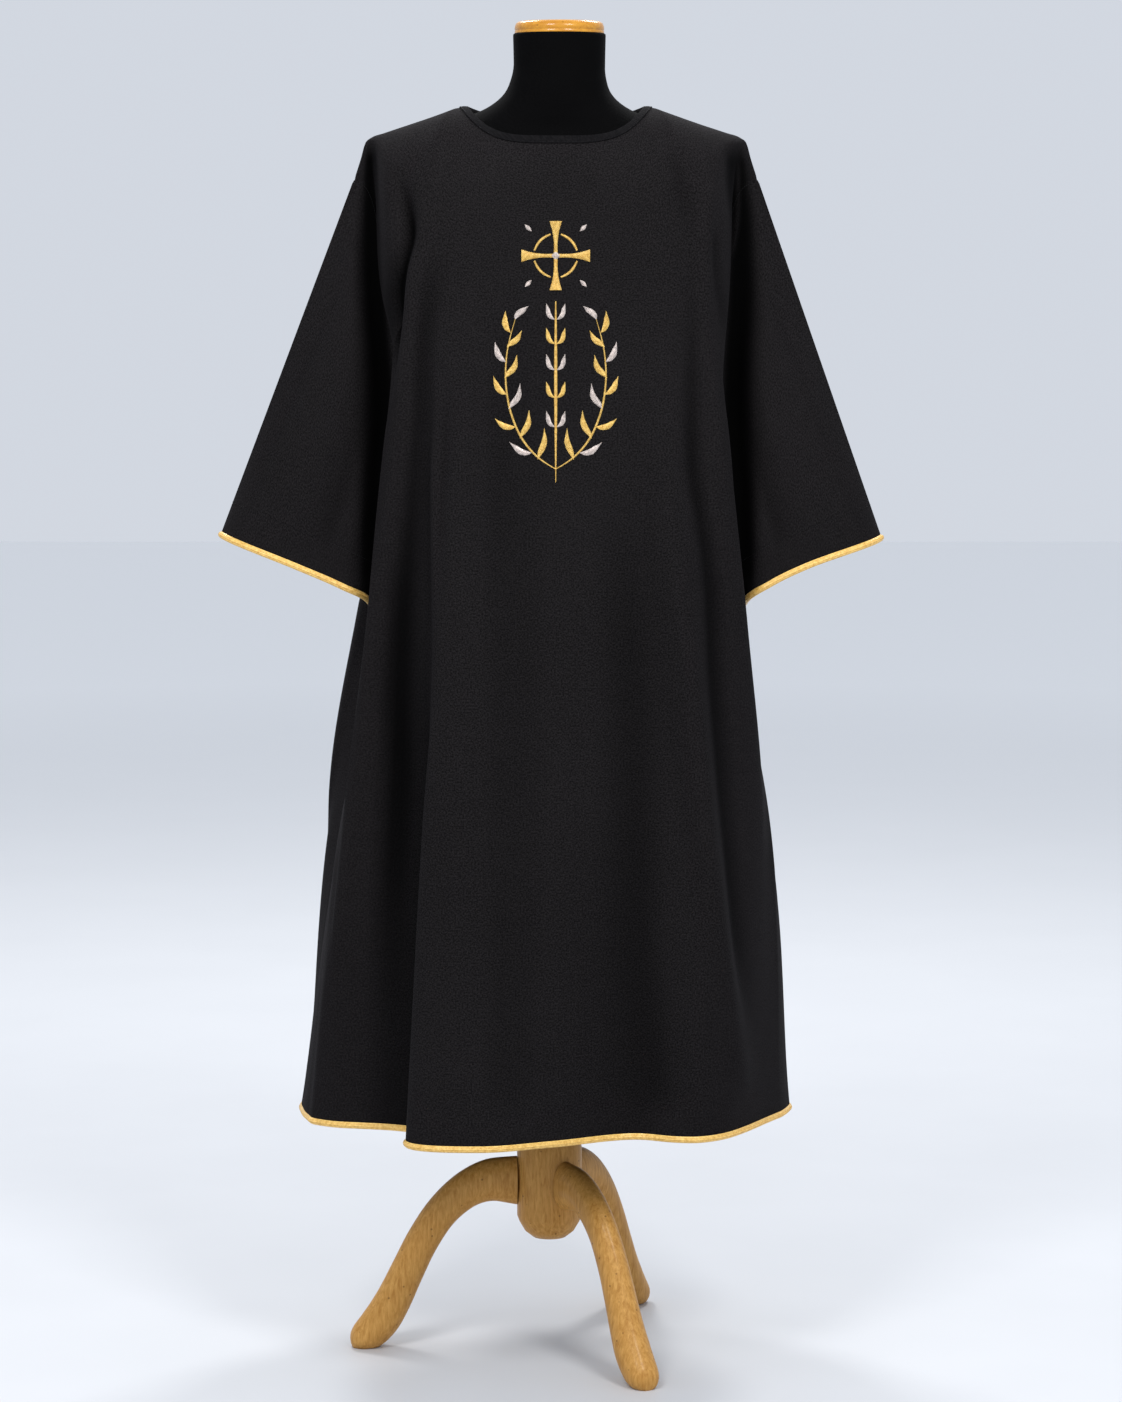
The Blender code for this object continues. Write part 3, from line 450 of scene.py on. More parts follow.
# ---- the cloth's surface ---------------------------------
@dataclass
class Drape:
    """The garment's outer surface: four grids of points and their normals."""

    chest: float = 1.38           # heights of the lines between its zones
    underarm: float = 1.12
    hem: float = 0.322
    # Stations from a panel's centre to its seam, and the steps from each to the next.
    spacing: tuple = ((0.0, 24), (0.28, 10), (0.4, 8), (0.5, 8), (NECK_STATION, 6), (0.63, 8),
                      (0.69, 12), (0.87, 3), (0.9, 3), (0.94, 4))
    round_rows: int = 34          # down the round of the shoulders
    armhole_rows: int = 48        # from there to the underarm
    skirt_rows: int = 130         # from the underarm to the hem
    sleeve_columns: int = 84      # from a sleeve's seam to its cuff
    crowding: float = 1.25        # how much closer the rows lie near the shoulder seam
    fan: float = 0.6              # how early the cloth spreads out below the neck
    eased_rows: int = 11          # on each side of the chest line, eased into one curve
    ease_passes: int = 40
    fullness: float = 0.01        # how far a sleeve swells to the front and back
    crease_facing: tuple = (0.25, 0.7)   # creases fade where the cloth turns to the side
    crease_seam: tuple = (0.02, 0.12)    # and at the seams, by station
    crease_lead: float = 0.01     # how far a crease runs on past its lower end
    fold_margin: tuple = (0.02, 0.1)     # drag folds fade at the outer and underarm folds
    fold_grow: float = 0.25       # the share of a sleeve over which one grows in or dies out
    fold_tail: float = 0.1        # how far it runs on past its end
    cuff_calm: float = 0.2        # the share beside the cuff where they fade
    furrow_curve: float = 0.9     # steepness of a furrow's walls
    furrow_floor: float = 0.0055  # how near the garment's middle plane a furrow comes
    seam_open: float = 0.00004    # between two pieces, at the seam that joins them
    seam_sink: float = 0.0007     # how far the cloth dips into a seam
    # painted shade: how the cloth's colour is darkened in its folds and lightened where it faces up
    nap_and_painted_shade: PaintedFoldShade = PaintedFoldShade()
    points: dict[str, Array] = field(init=False, default_factory=dict)
    normals: dict[str, Array] = field(init=False, default_factory=dict)
    # the folds' rise at each point; on the panels each crease is weighted by the strength of its
    # painted shade
    rises: dict[str, Array] = field(init=False, default_factory=dict)

    def __post_init__(self) -> None:
        """Shape the four pieces, fold them and sew them."""
        half = []
        stops = [place for place, _ in self.spacing] + [1.0]
        for (start, steps), end in zip(self.spacing, stops[1:]):
            half += list(np.linspace(start, end, steps, endpoint=False))
        self.stations = both_sides(np.array(half + [1.0]))
        self.seam_rows = self.round_rows + self.armhole_rows + 1
        for name in PANELS:
            self.points[name] = self._panel(FORMS[name])
        for name, column, side in (("right", 0, -1.0), ("left", -1, 1.0)):
            self.points[name] = self._sleeve(column, side, CUFFS[name])
        self._fold()
        self.shell = self.surface(*PANELS)
        self._sew()
        # painted shade for each point of each piece, carried into the cloth's colour
        self.painted_shades = {name: self._painted_shade(name, grid) for name, grid in self.points.items()}

    def _hanging_rows(self, form: PanelForm, heights: Array) -> Array:
        """Points of a panel at these heights, below the round of the shoulders.

        Args:
            form: how the panel hangs.
            heights: one for each row.

        Returns:
            A grid of points, row by row.
        """
        levels = []
        for right, left, deep in zip(form.right, form.left, form.centre):
            levels.append([(-out, far) for out, far in reversed(right)] + [(0, deep), *left])
        guides = np.array(levels) * (1, form.side.value) / MM
        at_heights = smooth(-np.array(LEVELS), guides, -heights)
        guide_stations = both_sides(np.array(GUIDE_STATIONS))
        across = smooth(guide_stations, at_heights.transpose(1, 0, 2), self.stations)
        tall = np.broadcast_to(heights[None, :, None], across.shape[:2] + (1,))
        return np.concatenate([across, tall], axis=2).transpose(1, 0, 2)

    def _top_edge(self, form: PanelForm) -> Array:
        """A panel's upper edge: half the neckline, and the shoulder seam on each side.

        Args:
            form: how the panel hangs.

        Returns:
            A point for each station.
        """
        depth, drop, curve = form.neck
        place = abs(self.stations)
        shoulder = read(SHOULDER, np.maximum(place, NECK_STATION))
        turn = np.minimum(place / NECK_STATION, 1.0) * math.pi / 2
        opening = np.cos(turn).clip(0.0)
        on_neck = place < NECK_STATION
        out = np.where(on_neck, NECK_HALF_WIDTH * np.sin(turn), shoulder[:, 0])
        fall = (opening**2 * (3 - 2 * opening)) ** curve
        height = np.where(on_neck, NECK_HEIGHT - drop * fall, shoulder[:, 1])
        deep = np.where(on_neck, depth * opening, 0.0)
        across = FORM_AXIS + np.sign(self.stations) * out
        return np.stack([across, form.side.value * deep, height], axis=1)

    def _panel(self, form: PanelForm) -> Array:
        """Outer points of a panel, by row from the top edge to the hem and by station.

        Args:
            form: how the panel hangs.

        Returns:
            The grid of points.
        """
        hanging = self._hanging_rows(form, np.concatenate([
            np.linspace(self.chest, self.underarm, self.armhole_rows, endpoint=False),
            np.linspace(self.underarm, self.hem, self.skirt_rows + 1),
        ]))
        top, chest = self._top_edge(form), hanging[0]
        start = np.arcsin(np.clip(top[:, 1] / chest[:, 1], 0.0, 1.0))
        rows = []
        for step in np.linspace(0.0, 1.0, self.round_rows, endpoint=False) ** self.crowding:
            turn = start + (math.pi / 2 - start) * step
            fall = (np.cos(start) - np.cos(turn)) / np.cos(start)
            reach = (np.sin(turn) - np.sin(start)) / (1 - np.sin(start))
            shares = np.stack([reach**self.fan, reach, fall], axis=1)
            rows.append(top + (chest - top) * shares)
        points = np.concatenate([np.array(rows), hanging])
        # The cloth has no corner where it leaves the shoulders.
        window = slice(self.round_rows - self.eased_rows, self.round_rows + self.eased_rows + 1)
        points[window] = eased(points[window], self.ease_passes)
        return points

    def _sleeve(self, column: int, side: float, cuff: tuple) -> Array:
        """Outer points of a sleeve: round it from its outer fold by the front, seam to cuff.

        Args:
            column: the panels' column at its seam.
            side: -1 on the wearer's right, 1 on the left.
            cuff: its row of CUFFS.

        Returns:
            The grid of points, with columns from seam to cuff.
        """
        front_seam, back_seam = (self.points[name][:self.seam_rows, column] for name in PANELS)
        lengths = run_lengths(front_seam, 0)
        share = lengths / lengths[-1]
        half_cuff = read(cuff, share)
        seam_loop = np.concatenate([front_seam, back_seam[-2:0:-1]])
        cuff_loop = np.concatenate(
            [half_cuff * (side, -1.0, 1.0), (half_cuff * (side, 1.0, 1.0))[-2:0:-1]])
        belly = np.concatenate([np.sin(math.pi * share), -np.sin(math.pi * share[-2:0:-1])])
        rows = []
        for step in np.linspace(0.0, 1.0, self.sleeve_columns + 1):
            row = seam_loop + (cuff_loop - seam_loop) * step
            row[:, 1] -= self.fullness * belly * math.sin(math.pi * step)
            rows.append(row)
        return np.array(rows).transpose(1, 0, 2)

    def _fold(self) -> None:
        """Lay the creases, the drag folds of the sleeves, and the furrows beside them."""
        for name, points in self.points.items():
            normals = grid_normals(name, points)
            if name in PANELS:
                creases = CREASES[name]
                facing = ramp(abs(normals[..., 1]), *self.crease_facing)
                facing *= ramp(1 - abs(self.stations), *self.crease_seam)
                rises = [self._crease_rise(points, crease) for crease in creases]
                points += normals * (sum(rises) * facing)[..., None]
                # kept for the painted shade, each crease weighted by the strength of its painted
                # shade
                self.rises[name] = sum(rise * crease.shade for rise, crease in zip(rises, creases))
            else:
                self.rises[name] = self._sleeve_rise(points)
                points += normals * self.rises[name][..., None]
            for valley in VALLEYS:
                self._sink(points, valley)

    def _crease_rise(self, points: Array, crease: Crease) -> Array:
        """How far one crease lifts each point of a panel.

        Args:
            points: the panel's grid.
            crease: the crease.

        Returns:
            A height for each point.
        """
        path = np.array(crease.path)[:, ::-1] / MM
        height = points[..., 2]
        off = points[..., 0] - read_down(path, height)[0]
        width = np.where(off < 0, crease.before / MM, crease.after / MM)
        grow, die = (end / MM for end in crease.ends)
        grown = ramp(path[0, 0] - height, 0.0, grow)
        left = ramp(height - path[-1, 0], -self.crease_lead, die)
        return crease.rise / MM * np.exp(-((off / width) ** 2)) * grown * left

    def _sleeve_rise(self, points: Array) -> Array:
        """How far the drag folds lift each point of a sleeve.

        Args:
            points: the sleeve's grid.

        Returns:
            A height for each point.
        """
        rows, columns = points.shape[:2]
        place = np.arange(rows) / (self.seam_rows - 1)
        step = np.linspace(0.0, 1.0, columns)[None, :]
        rise = np.zeros((rows, columns))
        for name, round_it in (("front", place), ("back", 2 - place)):
            near = ramp(round_it, *self.fold_margin) * ramp(1 - round_it, *self.fold_margin)
            for fold in SLEEVE_FOLDS[name]:
                off = (round_it[:, None] - fold.share - fold.drift * step) / fold.width
                along = ramp(step, fold.start, fold.start + self.fold_grow)
                along = along * ramp(fold.end + self.fold_tail - step, 0.0, self.fold_grow)
                rise += fold.rise * np.exp(-(off**2)) * along * near[:, None]
        return rise * ramp(1 - step, 0.0, self.cuff_calm)

    def _sink(self, points: Array, valley: Valley) -> None:
        """Push a furrow into the points, never as far as the garment's middle plane.

        Args:
            points: the grid, which is changed.
            valley: the furrow.
        """
        height, deep = points[..., 2], points[..., 1]
        inside = (height < valley.rows[0][0]) & (height > valley.rows[-1][0])
        off, depth = valley.across(valley.rows, points)
        push = depth * np.exp(-(off**2) * self.furrow_curve) * inside * valley.openness(points)
        free = np.maximum(abs(deep) - self.furrow_floor, 1e-9)
        moved = np.where(abs(deep) > self.furrow_floor, free * np.tanh(push / free), 0.0)
        points[..., 1] -= np.sign(deep) * moved

    def _painted_shade(self, name: str, grid: Array) -> Array:
        """Painted shade: how much darker each point's colour is painted, 0 on open cloth, near 1
        deep in a furrow.

        Args:
            name: the piece's name.
            grid: its points.

        Returns:
            How much darker each point's colour is painted, below 0 where it is painted lighter
            because it faces up.
        """
        nap_and_painted_shade, height = self.nap_and_painted_shade, grid[..., 2]
        hollow = np.clip(-self.rises[name] / nap_and_painted_shade.black_depth, *nap_and_painted_shade.trough)
        for passes, reach in nap_and_painted_shade.dips:
            if name in SLEEVES:
                even = eased(grid, passes, ring=True)
            else:
                even = eased(grid.transpose(1, 0, 2), passes).transpose(1, 0, 2)
            below = ((even - grid) * self.normals[name]).sum(axis=2)
            hollow += np.clip(below / reach, *nap_and_painted_shade.dip) * nap_and_painted_shade.dip_share
        # painted shadow along each furrow between a sleeve and the body
        for valley in VALLEYS:
            off, _ = valley.across(valley.rows, grid, nap_and_painted_shade.furrow)
            body, sleeve = ((reach * off) ** power
                            for reach, power in (nap_and_painted_shade.body_edge, nap_and_painted_shade.sleeve_edge))
            dark = np.exp(-np.where(off < 0, body, sleeve))
            started = ramp(valley.rows[0][0] - height, 0.0, nap_and_painted_shade.furrow_top)
            dark *= started * ramp(height - nap_and_painted_shade.furrow_end, 0.0, nap_and_painted_shade.furrow_fade)
            if name in PANELS:
                dark *= ramp(nap_and_painted_shade.plane[0] - abs(grid[..., 1]), 0.0, nap_and_painted_shade.plane[1])
            dark *= valley.openness(grid)
            hollow = np.maximum(hollow, nap_and_painted_shade.furrow_dark * dark)
        # painted light where the cloth faces up
        return hollow - nap_and_painted_shade.painted_top_light * ramp(self.normals[name][..., 2], *nap_and_painted_shade.top_slopes)

    def _sew(self) -> None:
        """Mitre the pieces along their seams, open the seams by their gap, and dip them."""
        points, normals = self.points, self.normals
        for name, grid in points.items():
            normals[name] = grid_normals(name, grid)
        shoulder = abs(self.stations) >= NECK_STATION
        self._share([(name, (0, shoulder)) for name in PANELS])
        last = self.seam_rows - 1
        ends, between = np.array([0, last]), np.arange(1, last)
        below = np.arange(last + 1, len(points["front"]))
        for column, name in ((0, "right"), (-1, "left")):
            self._share([("front", (ends, column)), (name, (ends, 0)), ("back", (ends, column))])
            self._share([("front", (between, column)), (name, (between, 0))])
            self._share([("back", (between, column)), (name, (-between, 0))])
            self._share([(panel, (below, column)) for panel in PANELS])
        moves = {name: np.zeros_like(grid) for name, grid in points.items()}
        count = int(shoulder.sum()) // 2
        whole = slice(None)
        for name in PANELS:
            for span in (slice(0, count), slice(-count, None)):
                moves[name][0, span] += self._pull_back(name, (0, span), (1, span))
        for name in points:
            for column, beside in ((0, 1),) if name in SLEEVES else ((0, 1), (-1, -2)):
                border = (whole, column)
                moves[name][border] += self._pull_back(name, border, (whole, beside))
                moves[name][border] -= normals[name][border] * self.seam_sink
        for name in PANELS:
            moves[name][0, shoulder] -= normals[name][0, shoulder] * self.seam_sink
        for name, move in moves.items():
            points[name] += move

    def _share(self, borders: list) -> None:
        """Give the borders of pieces that meet at a seam one mitred direction.

        Args:
            borders: (name, place in its grid) of each border.
        """
        mean = unit(sum(self.normals[name][where] for name, where in borders))
        for name, where in borders:
            self.normals[name][where] = mean

    def _pull_back(self, name: str, border: tuple, inner: tuple) -> Array:
        """The small move that draws a border of a grid back from its seam.

        Args:
            name: the piece's name.
            border: where its border is in its grid.
            inner: where the points beside it are.

        Returns:
            A move for each point of the border.
        """
        points = self.points[name]
        inward = without(points[inner] - points[border], self.normals[name][border])
        inward = without(inward, unit(np.gradient(points[border], axis=0)))
        return unit(inward) * self.seam_open / 2

    def surface(self, *names: str) -> BVHTree:
        """The outer faces of these grids, to lay a piece on.

        Args:
            names: the pieces.

        Returns:
            A tree to cast rays on.
        """
        points, faces = [], []
        for name in names:
            grid = self.points[name]
            faces += (grid_faces(*grid.shape[:2], False) + len(points)).tolist()
            points += grid.reshape(-1, 3).tolist()
        return BVHTree.FromPolygons(points, faces)


# ---- node helpers ----------------------------------------
@dataclass(frozen=True)
class Noise:
    """A noise pattern, and its share where it is mixed with others."""

    scale: float
    detail: float
    roughness: float = 0.5
    share: float = 1.0
    distortion: float = 0.0


class Sketch:
    """Adds nodes to one tree and links them, so that a finish reads as a recipe."""

    def __init__(self, tree: bpy.types.NodeTree) -> None:
        """Start on a tree."""
        self.tree = tree

    def add(self, kind: str, inputs: dict | None = None, **settings: object) -> bpy.types.Node:
        """Add a node.

        Args:
            kind: the node's type name.
            inputs: a value or an output socket for each input, by name or place.
            settings: the node's own properties.

        Returns:
            The new node.
        """
        node = self.tree.nodes.new(kind)
        for name, value in settings.items():
            setattr(node, name, value)
        self.fill(node, inputs or {})
        return node

    def out(self, kind: str, inputs: dict | None = None, **settings: object) -> Socket:
        """The first output of a new node."""
        return self.add(kind, inputs, **settings).outputs[0]

    def fill(self, node: bpy.types.Node, inputs: dict) -> None:
        """Link or set inputs of a node, by name or place.

        Args:
            node: the node.
            inputs: a value or an output socket for each.
        """
        for name, value in inputs.items():
            socket = node.inputs[name]
            if isinstance(value, Socket):
                self.tree.links.new(value, socket)
            else:
                socket.default_value = value

    def math(self, operation: str, first: Value, second: Value = 0.0) -> Socket:
        """The result of one Math node."""
        return self.out("ShaderNodeMath", {0: first, 1: second}, operation=operation)

    def blend(self, share: Socket, first: Value, second: Value) -> Socket:
        """A colour between two others.

        Args:
            share: 0 for the first, 1 for the second.
            first: a colour or a socket.
            second: another.

        Returns:
            The colour socket.
        """
        node = self.add("ShaderNodeMix", {"Factor": share}, data_type="RGBA")
        ends = (value if isinstance(value, Socket) else (*value, 1.0)
                for value in (first, second))
        self.fill(node, dict(zip((6, 7), ends)))
        return node.outputs[2]

    def place(self) -> Socket:
        """The point in the object's own place."""
        return self.add("ShaderNodeTexCoord").outputs["Object"]

    def stretched(self, place: Socket, scale: tuple) -> Socket:
        """A place whose axes are scaled, so that a pattern is drawn out."""
        return self.out("ShaderNodeMapping", {"Vector": place, "Scale": scale})

    def noise(self, place: Socket, noise: Noise) -> Socket:
        """The value of a noise at a place.

        Args:
            place: the place.
            noise: the pattern.

        Returns:
            The value, from 0 to 1.
        """
        return self.out("ShaderNodeTexNoise", {
            "Vector": place, "Scale": noise.scale, "Detail": noise.detail,
            "Roughness": noise.roughness, "Distortion": noise.distortion})

    def mixed(self, *layers: tuple) -> Socket:
        """The sum of layers, each a value and its share.

        Args:
            layers: (value, share) of each.

        Returns:
            The socket of the sum.
        """
        total = None
        for value, share in layers:
            part = self.math("MULTIPLY", value, share)
            total = part if total is None else self.math("ADD", total, part)
        return total

    def cells(self, place: Socket, scale: float) -> Socket:
        """The distance to the nearest of many scattered points."""
        return self.out("ShaderNodeTexVoronoi", {"Vector": place, "Scale": scale})

    def spread(self, value: Socket, low: float, high: float, to_low: float = 0.0,
               to_high: float = 1.0) -> Socket:
        """The value, with low to high stretched over the second range.

        Args:
            value: the value.
            low: read as to_low.
            high: read as to_high.
            to_low: the start of the second range.
            to_high: its end.

        Returns:
            The new value.
        """
        return self.out("ShaderNodeMapRange", {
            "Value": value, "From Min": low, "From Max": high, "To Min": to_low,
            "To Max": to_high})

    def bump(self, height: Socket, distance: float, strength: float) -> Socket:
        """Normals from a height."""
        return self.out("ShaderNodeBump", {
            "Height": height, "Distance": distance, "Strength": strength})


def placed(name: str, data: bpy.types.ID) -> bpy.types.Object:
    """A new object in the scene, outside the object's own collection.

    Args:
        name: the object's name.
        data: its mesh, lamp or camera.

    Returns:
        The new object.
    """
    item = bpy.data.objects.new(name, data)
    bpy.context.scene.collection.objects.link(item)
    return item


def blank_material(name: str, colour: tuple) -> tuple:
    """An empty material with its sketch and its Principled shader.

    Args:
        name: the material's name.
        colour: its plain colour.

    Returns:
        The material, the sketch and the shader.
    """
    material = bpy.data.materials.new(name)
    material.use_nodes = True
    material.diffuse_color = (*colour, 1.0)
    return material, Sketch(material.node_tree), material.node_tree.nodes["Principled BSDF"]


# ---- finishes --------------------------------------------
@dataclass(frozen=True)
class ClothFinish:
    """A woven cloth: a twill with a soft nap, from its own colours and pitch, with painted shade in
    its folds from its mesh's attribute.
    """

    name: str
    dark: tuple
    light: tuple
    pitch: float = 0.0011       # of the twill lines, along the cloth
    slope: float = 0.8          # of the twill lines
    yarn: float = 0.55          # pitch of the upright yarns, as a share of the twill's
    relief: float = 0.00012     # height of the twill
    nap_and_painted_shade: float = 0.0021         # size of the nap's fine speckle
    speckle: tuple = (3.0, 0.65, 0.86)   # its detail, roughness and share of the tone
    slub: Noise = Noise(55.0, 4.0, 0.6, 0.07)
    wash: Noise = Noise(4.5, 2.0, 0.5, 0.07)
    twill_tone: float = 0.05    # share of the twill lines in the tone
    tones: tuple = (0.405, 0.615)        # from the dark colour to the light one
    heights: tuple = (0.5, 0.15, 1.6)    # shares of the twill, the yarns and the speckle
    bump: float = 0.55
    roughness: float = 0.86
    specular: float = 0.037
    sheen: float = 0.0103
    sheen_roughness: float = 0.5
    sheen_tint: tuple = (0.8, 0.72, 0.8, 1.0)

    def material(self) -> Material:
        """Build the finish's material.

        Returns:
            The new material.
        """
        material, sketch, shader = blank_material(self.name, self.light)
        uv = sketch.out("ShaderNodeUVMap", uv_map="Cloth")
        place = sketch.place()
        split = sketch.add("ShaderNodeSeparateXYZ", {"Vector": uv}).outputs
        rising = sketch.math("MULTIPLY", split["Y"], self.slope)
        slant = sketch.math("ADD", split["X"], rising)
        line, yarn = (
            sketch.math("SINE", sketch.math("MULTIPLY", run, 2 * math.pi / pitch))
            for run, pitch in ((slant, self.pitch), (split["X"], self.pitch * self.yarn)))
        fine = Noise(1 / self.nap_and_painted_shade, *self.speckle)
        speckle = sketch.noise(uv, fine)
        tone = sketch.mixed(
            (speckle, fine.share), (sketch.noise(uv, self.slub), self.slub.share),
            (sketch.noise(place, self.wash), self.wash.share), (line, self.twill_tone))
        shade = sketch.spread(tone, *self.tones)
        # painted shade: the colour is darkened in folds and furrows, and lightened where the cloth
        # faces up, by the mesh's attribute
        hollow = sketch.add("ShaderNodeAttribute", attribute_name="Hollow").outputs["Fac"]
        colour = sketch.out("ShaderNodeVectorMath", {
            "Vector": sketch.blend(shade, self.dark, self.light),
            "Scale": sketch.math("SUBTRACT", 1.0, hollow)}, operation="SCALE")
        height = sketch.mixed(*zip((line, yarn, speckle), self.heights))
        sketch.fill(shader, {
            "Base Color": colour, "Normal": sketch.bump(height, self.relief, self.bump),
            "Roughness": self.roughness, "Specular IOR Level": self.specular,
            "Sheen Weight": self.sheen, "Sheen Roughness": self.sheen_roughness,
            "Sheen Tint": self.sheen_tint})
        return material


@dataclass(frozen=True)
class ThreadFinish:
    """A lustrous thread, whose tone wanders a little along the work."""

    name: str
    deep: tuple
    bright: tuple
    roughness: float = 0.36
    metallic: float = 0.15
    sheen: float = 0.15
    coat: float = 0.0
    specular: float = 0.5
    coat_roughness: float = 0.22
    broad: Noise = Noise(260.0, 2.0, 0.5, 0.55)
    fine: Noise = Noise(900.0, 2.0, 0.6, 0.45)
    tones: tuple = (0.39, 0.61)        # from the deep colour to the bright one
    bump: tuple = (0.0001, 0.4)        # height and strength of the fine grain

    def material(self) -> Material:
        """Build the finish's material.

        Returns:
            The new material.
        """
        material, sketch, shader = blank_material(self.name, self.bright)
        place = sketch.place()
        broad, fine = (sketch.noise(place, noise) for noise in (self.broad, self.fine))
        tone = sketch.mixed((broad, self.broad.share), (fine, self.fine.share))
        shade = sketch.spread(tone, *self.tones)
        sketch.fill(shader, {
            "Base Color": sketch.blend(shade, self.deep, self.bright),
            "Normal": sketch.bump(fine, *self.bump), "Roughness": self.roughness,
            "Metallic": self.metallic, "Sheen Weight": self.sheen,
            "Specular IOR Level": self.specular, "Coat Weight": self.coat,
            "Coat Roughness": self.coat_roughness})
        return material


@dataclass(frozen=True)
class WoodFinish:
    """Beech with its short dark flecks, under oil or varnish."""

    name: str
    dark: tuple
    light: tuple
    coat: float
    roughness: float
    along: tuple = (6.0, 6.0, 1.0)   # how the grain is squeezed across its run
    grain: Noise = Noise(46.0, 6.0, 0.6, distortion=0.5)
    tones: tuple = (0.32, 0.68)      # from the dark colour to the light one
    flecks: float = 95.0
    fleck: tuple = (0.06, 0.16, 0.55, 0.0)   # a fleck's inner and outer size and strength
    dents: float = 70.0
    dent: tuple = (0.05, 0.13, 0.75, 0.0)
    dent_tone: float = 0.35          # colour of a dent, as a share of the dark grain's
    bump: tuple = (0.0006, 0.35)     # height and strength of the grain and dents
    specular: float = 0.15
    coat_roughness: float = 0.16

    def material(self) -> Material:
        """Build the finish's material.

        Returns:
            The new material.
        """
        material, sketch, shader = blank_material(self.name, self.light)
        place = sketch.place()
        run = sketch.stretched(place, self.along)
        grain = sketch.noise(run, self.grain)
        colour = sketch.blend(sketch.spread(grain, *self.tones), self.dark, self.light)
        fleck = sketch.spread(sketch.cells(run, self.flecks), *self.fleck)
        colour = sketch.blend(fleck, colour, self.dark)
        dent = sketch.spread(sketch.cells(place, self.dents), *self.dent)
        colour = sketch.blend(dent, colour, tuple(value * self.dent_tone for value in self.dark))
        relief = sketch.math("SUBTRACT", grain, dent)
        sketch.fill(shader, {
            "Base Color": colour, "Normal": sketch.bump(relief, *self.bump),
            "Roughness": self.roughness, "Specular IOR Level": self.specular,
            "Coat Weight": self.coat, "Coat Roughness": self.coat_roughness})
        return material


@dataclass(frozen=True)
class SteelFinish:
    """A drawn steel tube with fine lines along it."""

    name: str
    colour: tuple
    lines: Noise = Noise(900.0, 3.0)
    drawn: tuple = (1.0, 1.0, 0.02)    # how the lines are drawn out along the tube
    roughness: tuple = (0.24, 0.46)
    bump: tuple = (0.00005, 0.5)

    def material(self) -> Material:
        """Build the finish's material.

        Returns:
            The new material.
        """
        material, sketch, shader = blank_material(self.name, self.colour)
        line = sketch.noise(sketch.stretched(sketch.place(), self.drawn), self.lines)
        sketch.fill(shader, {
            "Roughness": sketch.spread(line, 0.0, 1.0, *self.roughness),
            "Normal": sketch.bump(line, *self.bump), "Base Color": (*self.colour, 1.0),
            "Metallic": 1.0})
        return material


def dressed(finish: ClothFinish | ThreadFinish | WoodFinish | SteelFinish) -> Material:
    """A field that holds the finish's material, built with the object."""
    return field(default_factory=finish.material)


@dataclass
class Finishes:
    """Every finish of the object, built once."""

    wool: Material = dressed(ClothFinish(
        "black_wool", (0.0037, 0.0033, 0.0035), (0.0156, 0.014, 0.0146)))
    binding: Material = dressed(ClothFinish(
        "black_bias", (0.0038, 0.0037, 0.0041), (0.0088, 0.0081, 0.0087), pitch=0.0008,
        relief=0.00008))
    jersey: Material = dressed(ClothFinish(
        "black_jersey", (0.001, 0.001, 0.0011), (0.0026, 0.0025, 0.0027), pitch=0.0016,
        nap_and_painted_shade=0.0012, sheen=0.0045, sheen_roughness=0.35))
    thread: Material = dressed(ThreadFinish(
        "black_thread", (0.003, 0.003, 0.0035), (0.009, 0.0085, 0.0095), roughness=0.62,
        metallic=0.0, sheen=0.0, specular=0.18))
    piping: Material = dressed(ThreadFinish(
        "gold_piping", (0.7, 0.4, 0.075), (0.95, 0.64, 0.19), roughness=0.4, sheen=0.06,
        coat=0.35))
    gold: Material = dressed(ThreadFinish(
        "gold_thread", (0.66, 0.4, 0.08), (0.96, 0.68, 0.2), sheen=0.06, coat=0.15))
    silver: Material = dressed(ThreadFinish(
        "silver_thread", (0.46, 0.4, 0.37), (0.82, 0.71, 0.65), roughness=0.34, sheen=0.06,
        coat=0.15))
    varnish: Material = dressed(WoodFinish(
        "varnished_beech", (0.42, 0.165, 0.01), (0.6, 0.285, 0.028), coat=0.45,
        roughness=0.35, along=(1.0, 5.0, 5.0)))
    oiled: Material = dressed(WoodFinish(
        "oiled_beech", (0.4, 0.185, 0.036), (0.6, 0.325, 0.088), coat=0.1, roughness=0.48))
    steel: Material = dressed(SteelFinish("pole_steel", (0.35, 0.35, 0.36)))


# ---- pieces ----------------------------------------------
def grid_faces(rows: int, columns: int, ring: bool, tube: bool = False) -> Array:
    """The four-sided faces of a grid of points.

    Args:
        rows: how many rows it has.
        columns: how many points a row has.
        ring: whether the last row joins the first.
        tube: whether the last column joins the first.

    Returns:
        The four corners of each face, row by row.
    """
    row = np.arange(rows if ring else rows - 1)[:, None]
    column = np.arange(columns if tube else columns - 1)[None, :]
    after, beside = (row + 1) % rows, (column + 1) % columns
    return np.stack([row * columns + column, row * columns + beside,
                     after * columns + beside, after * columns + column], axis=-1).reshape(-1, 4)


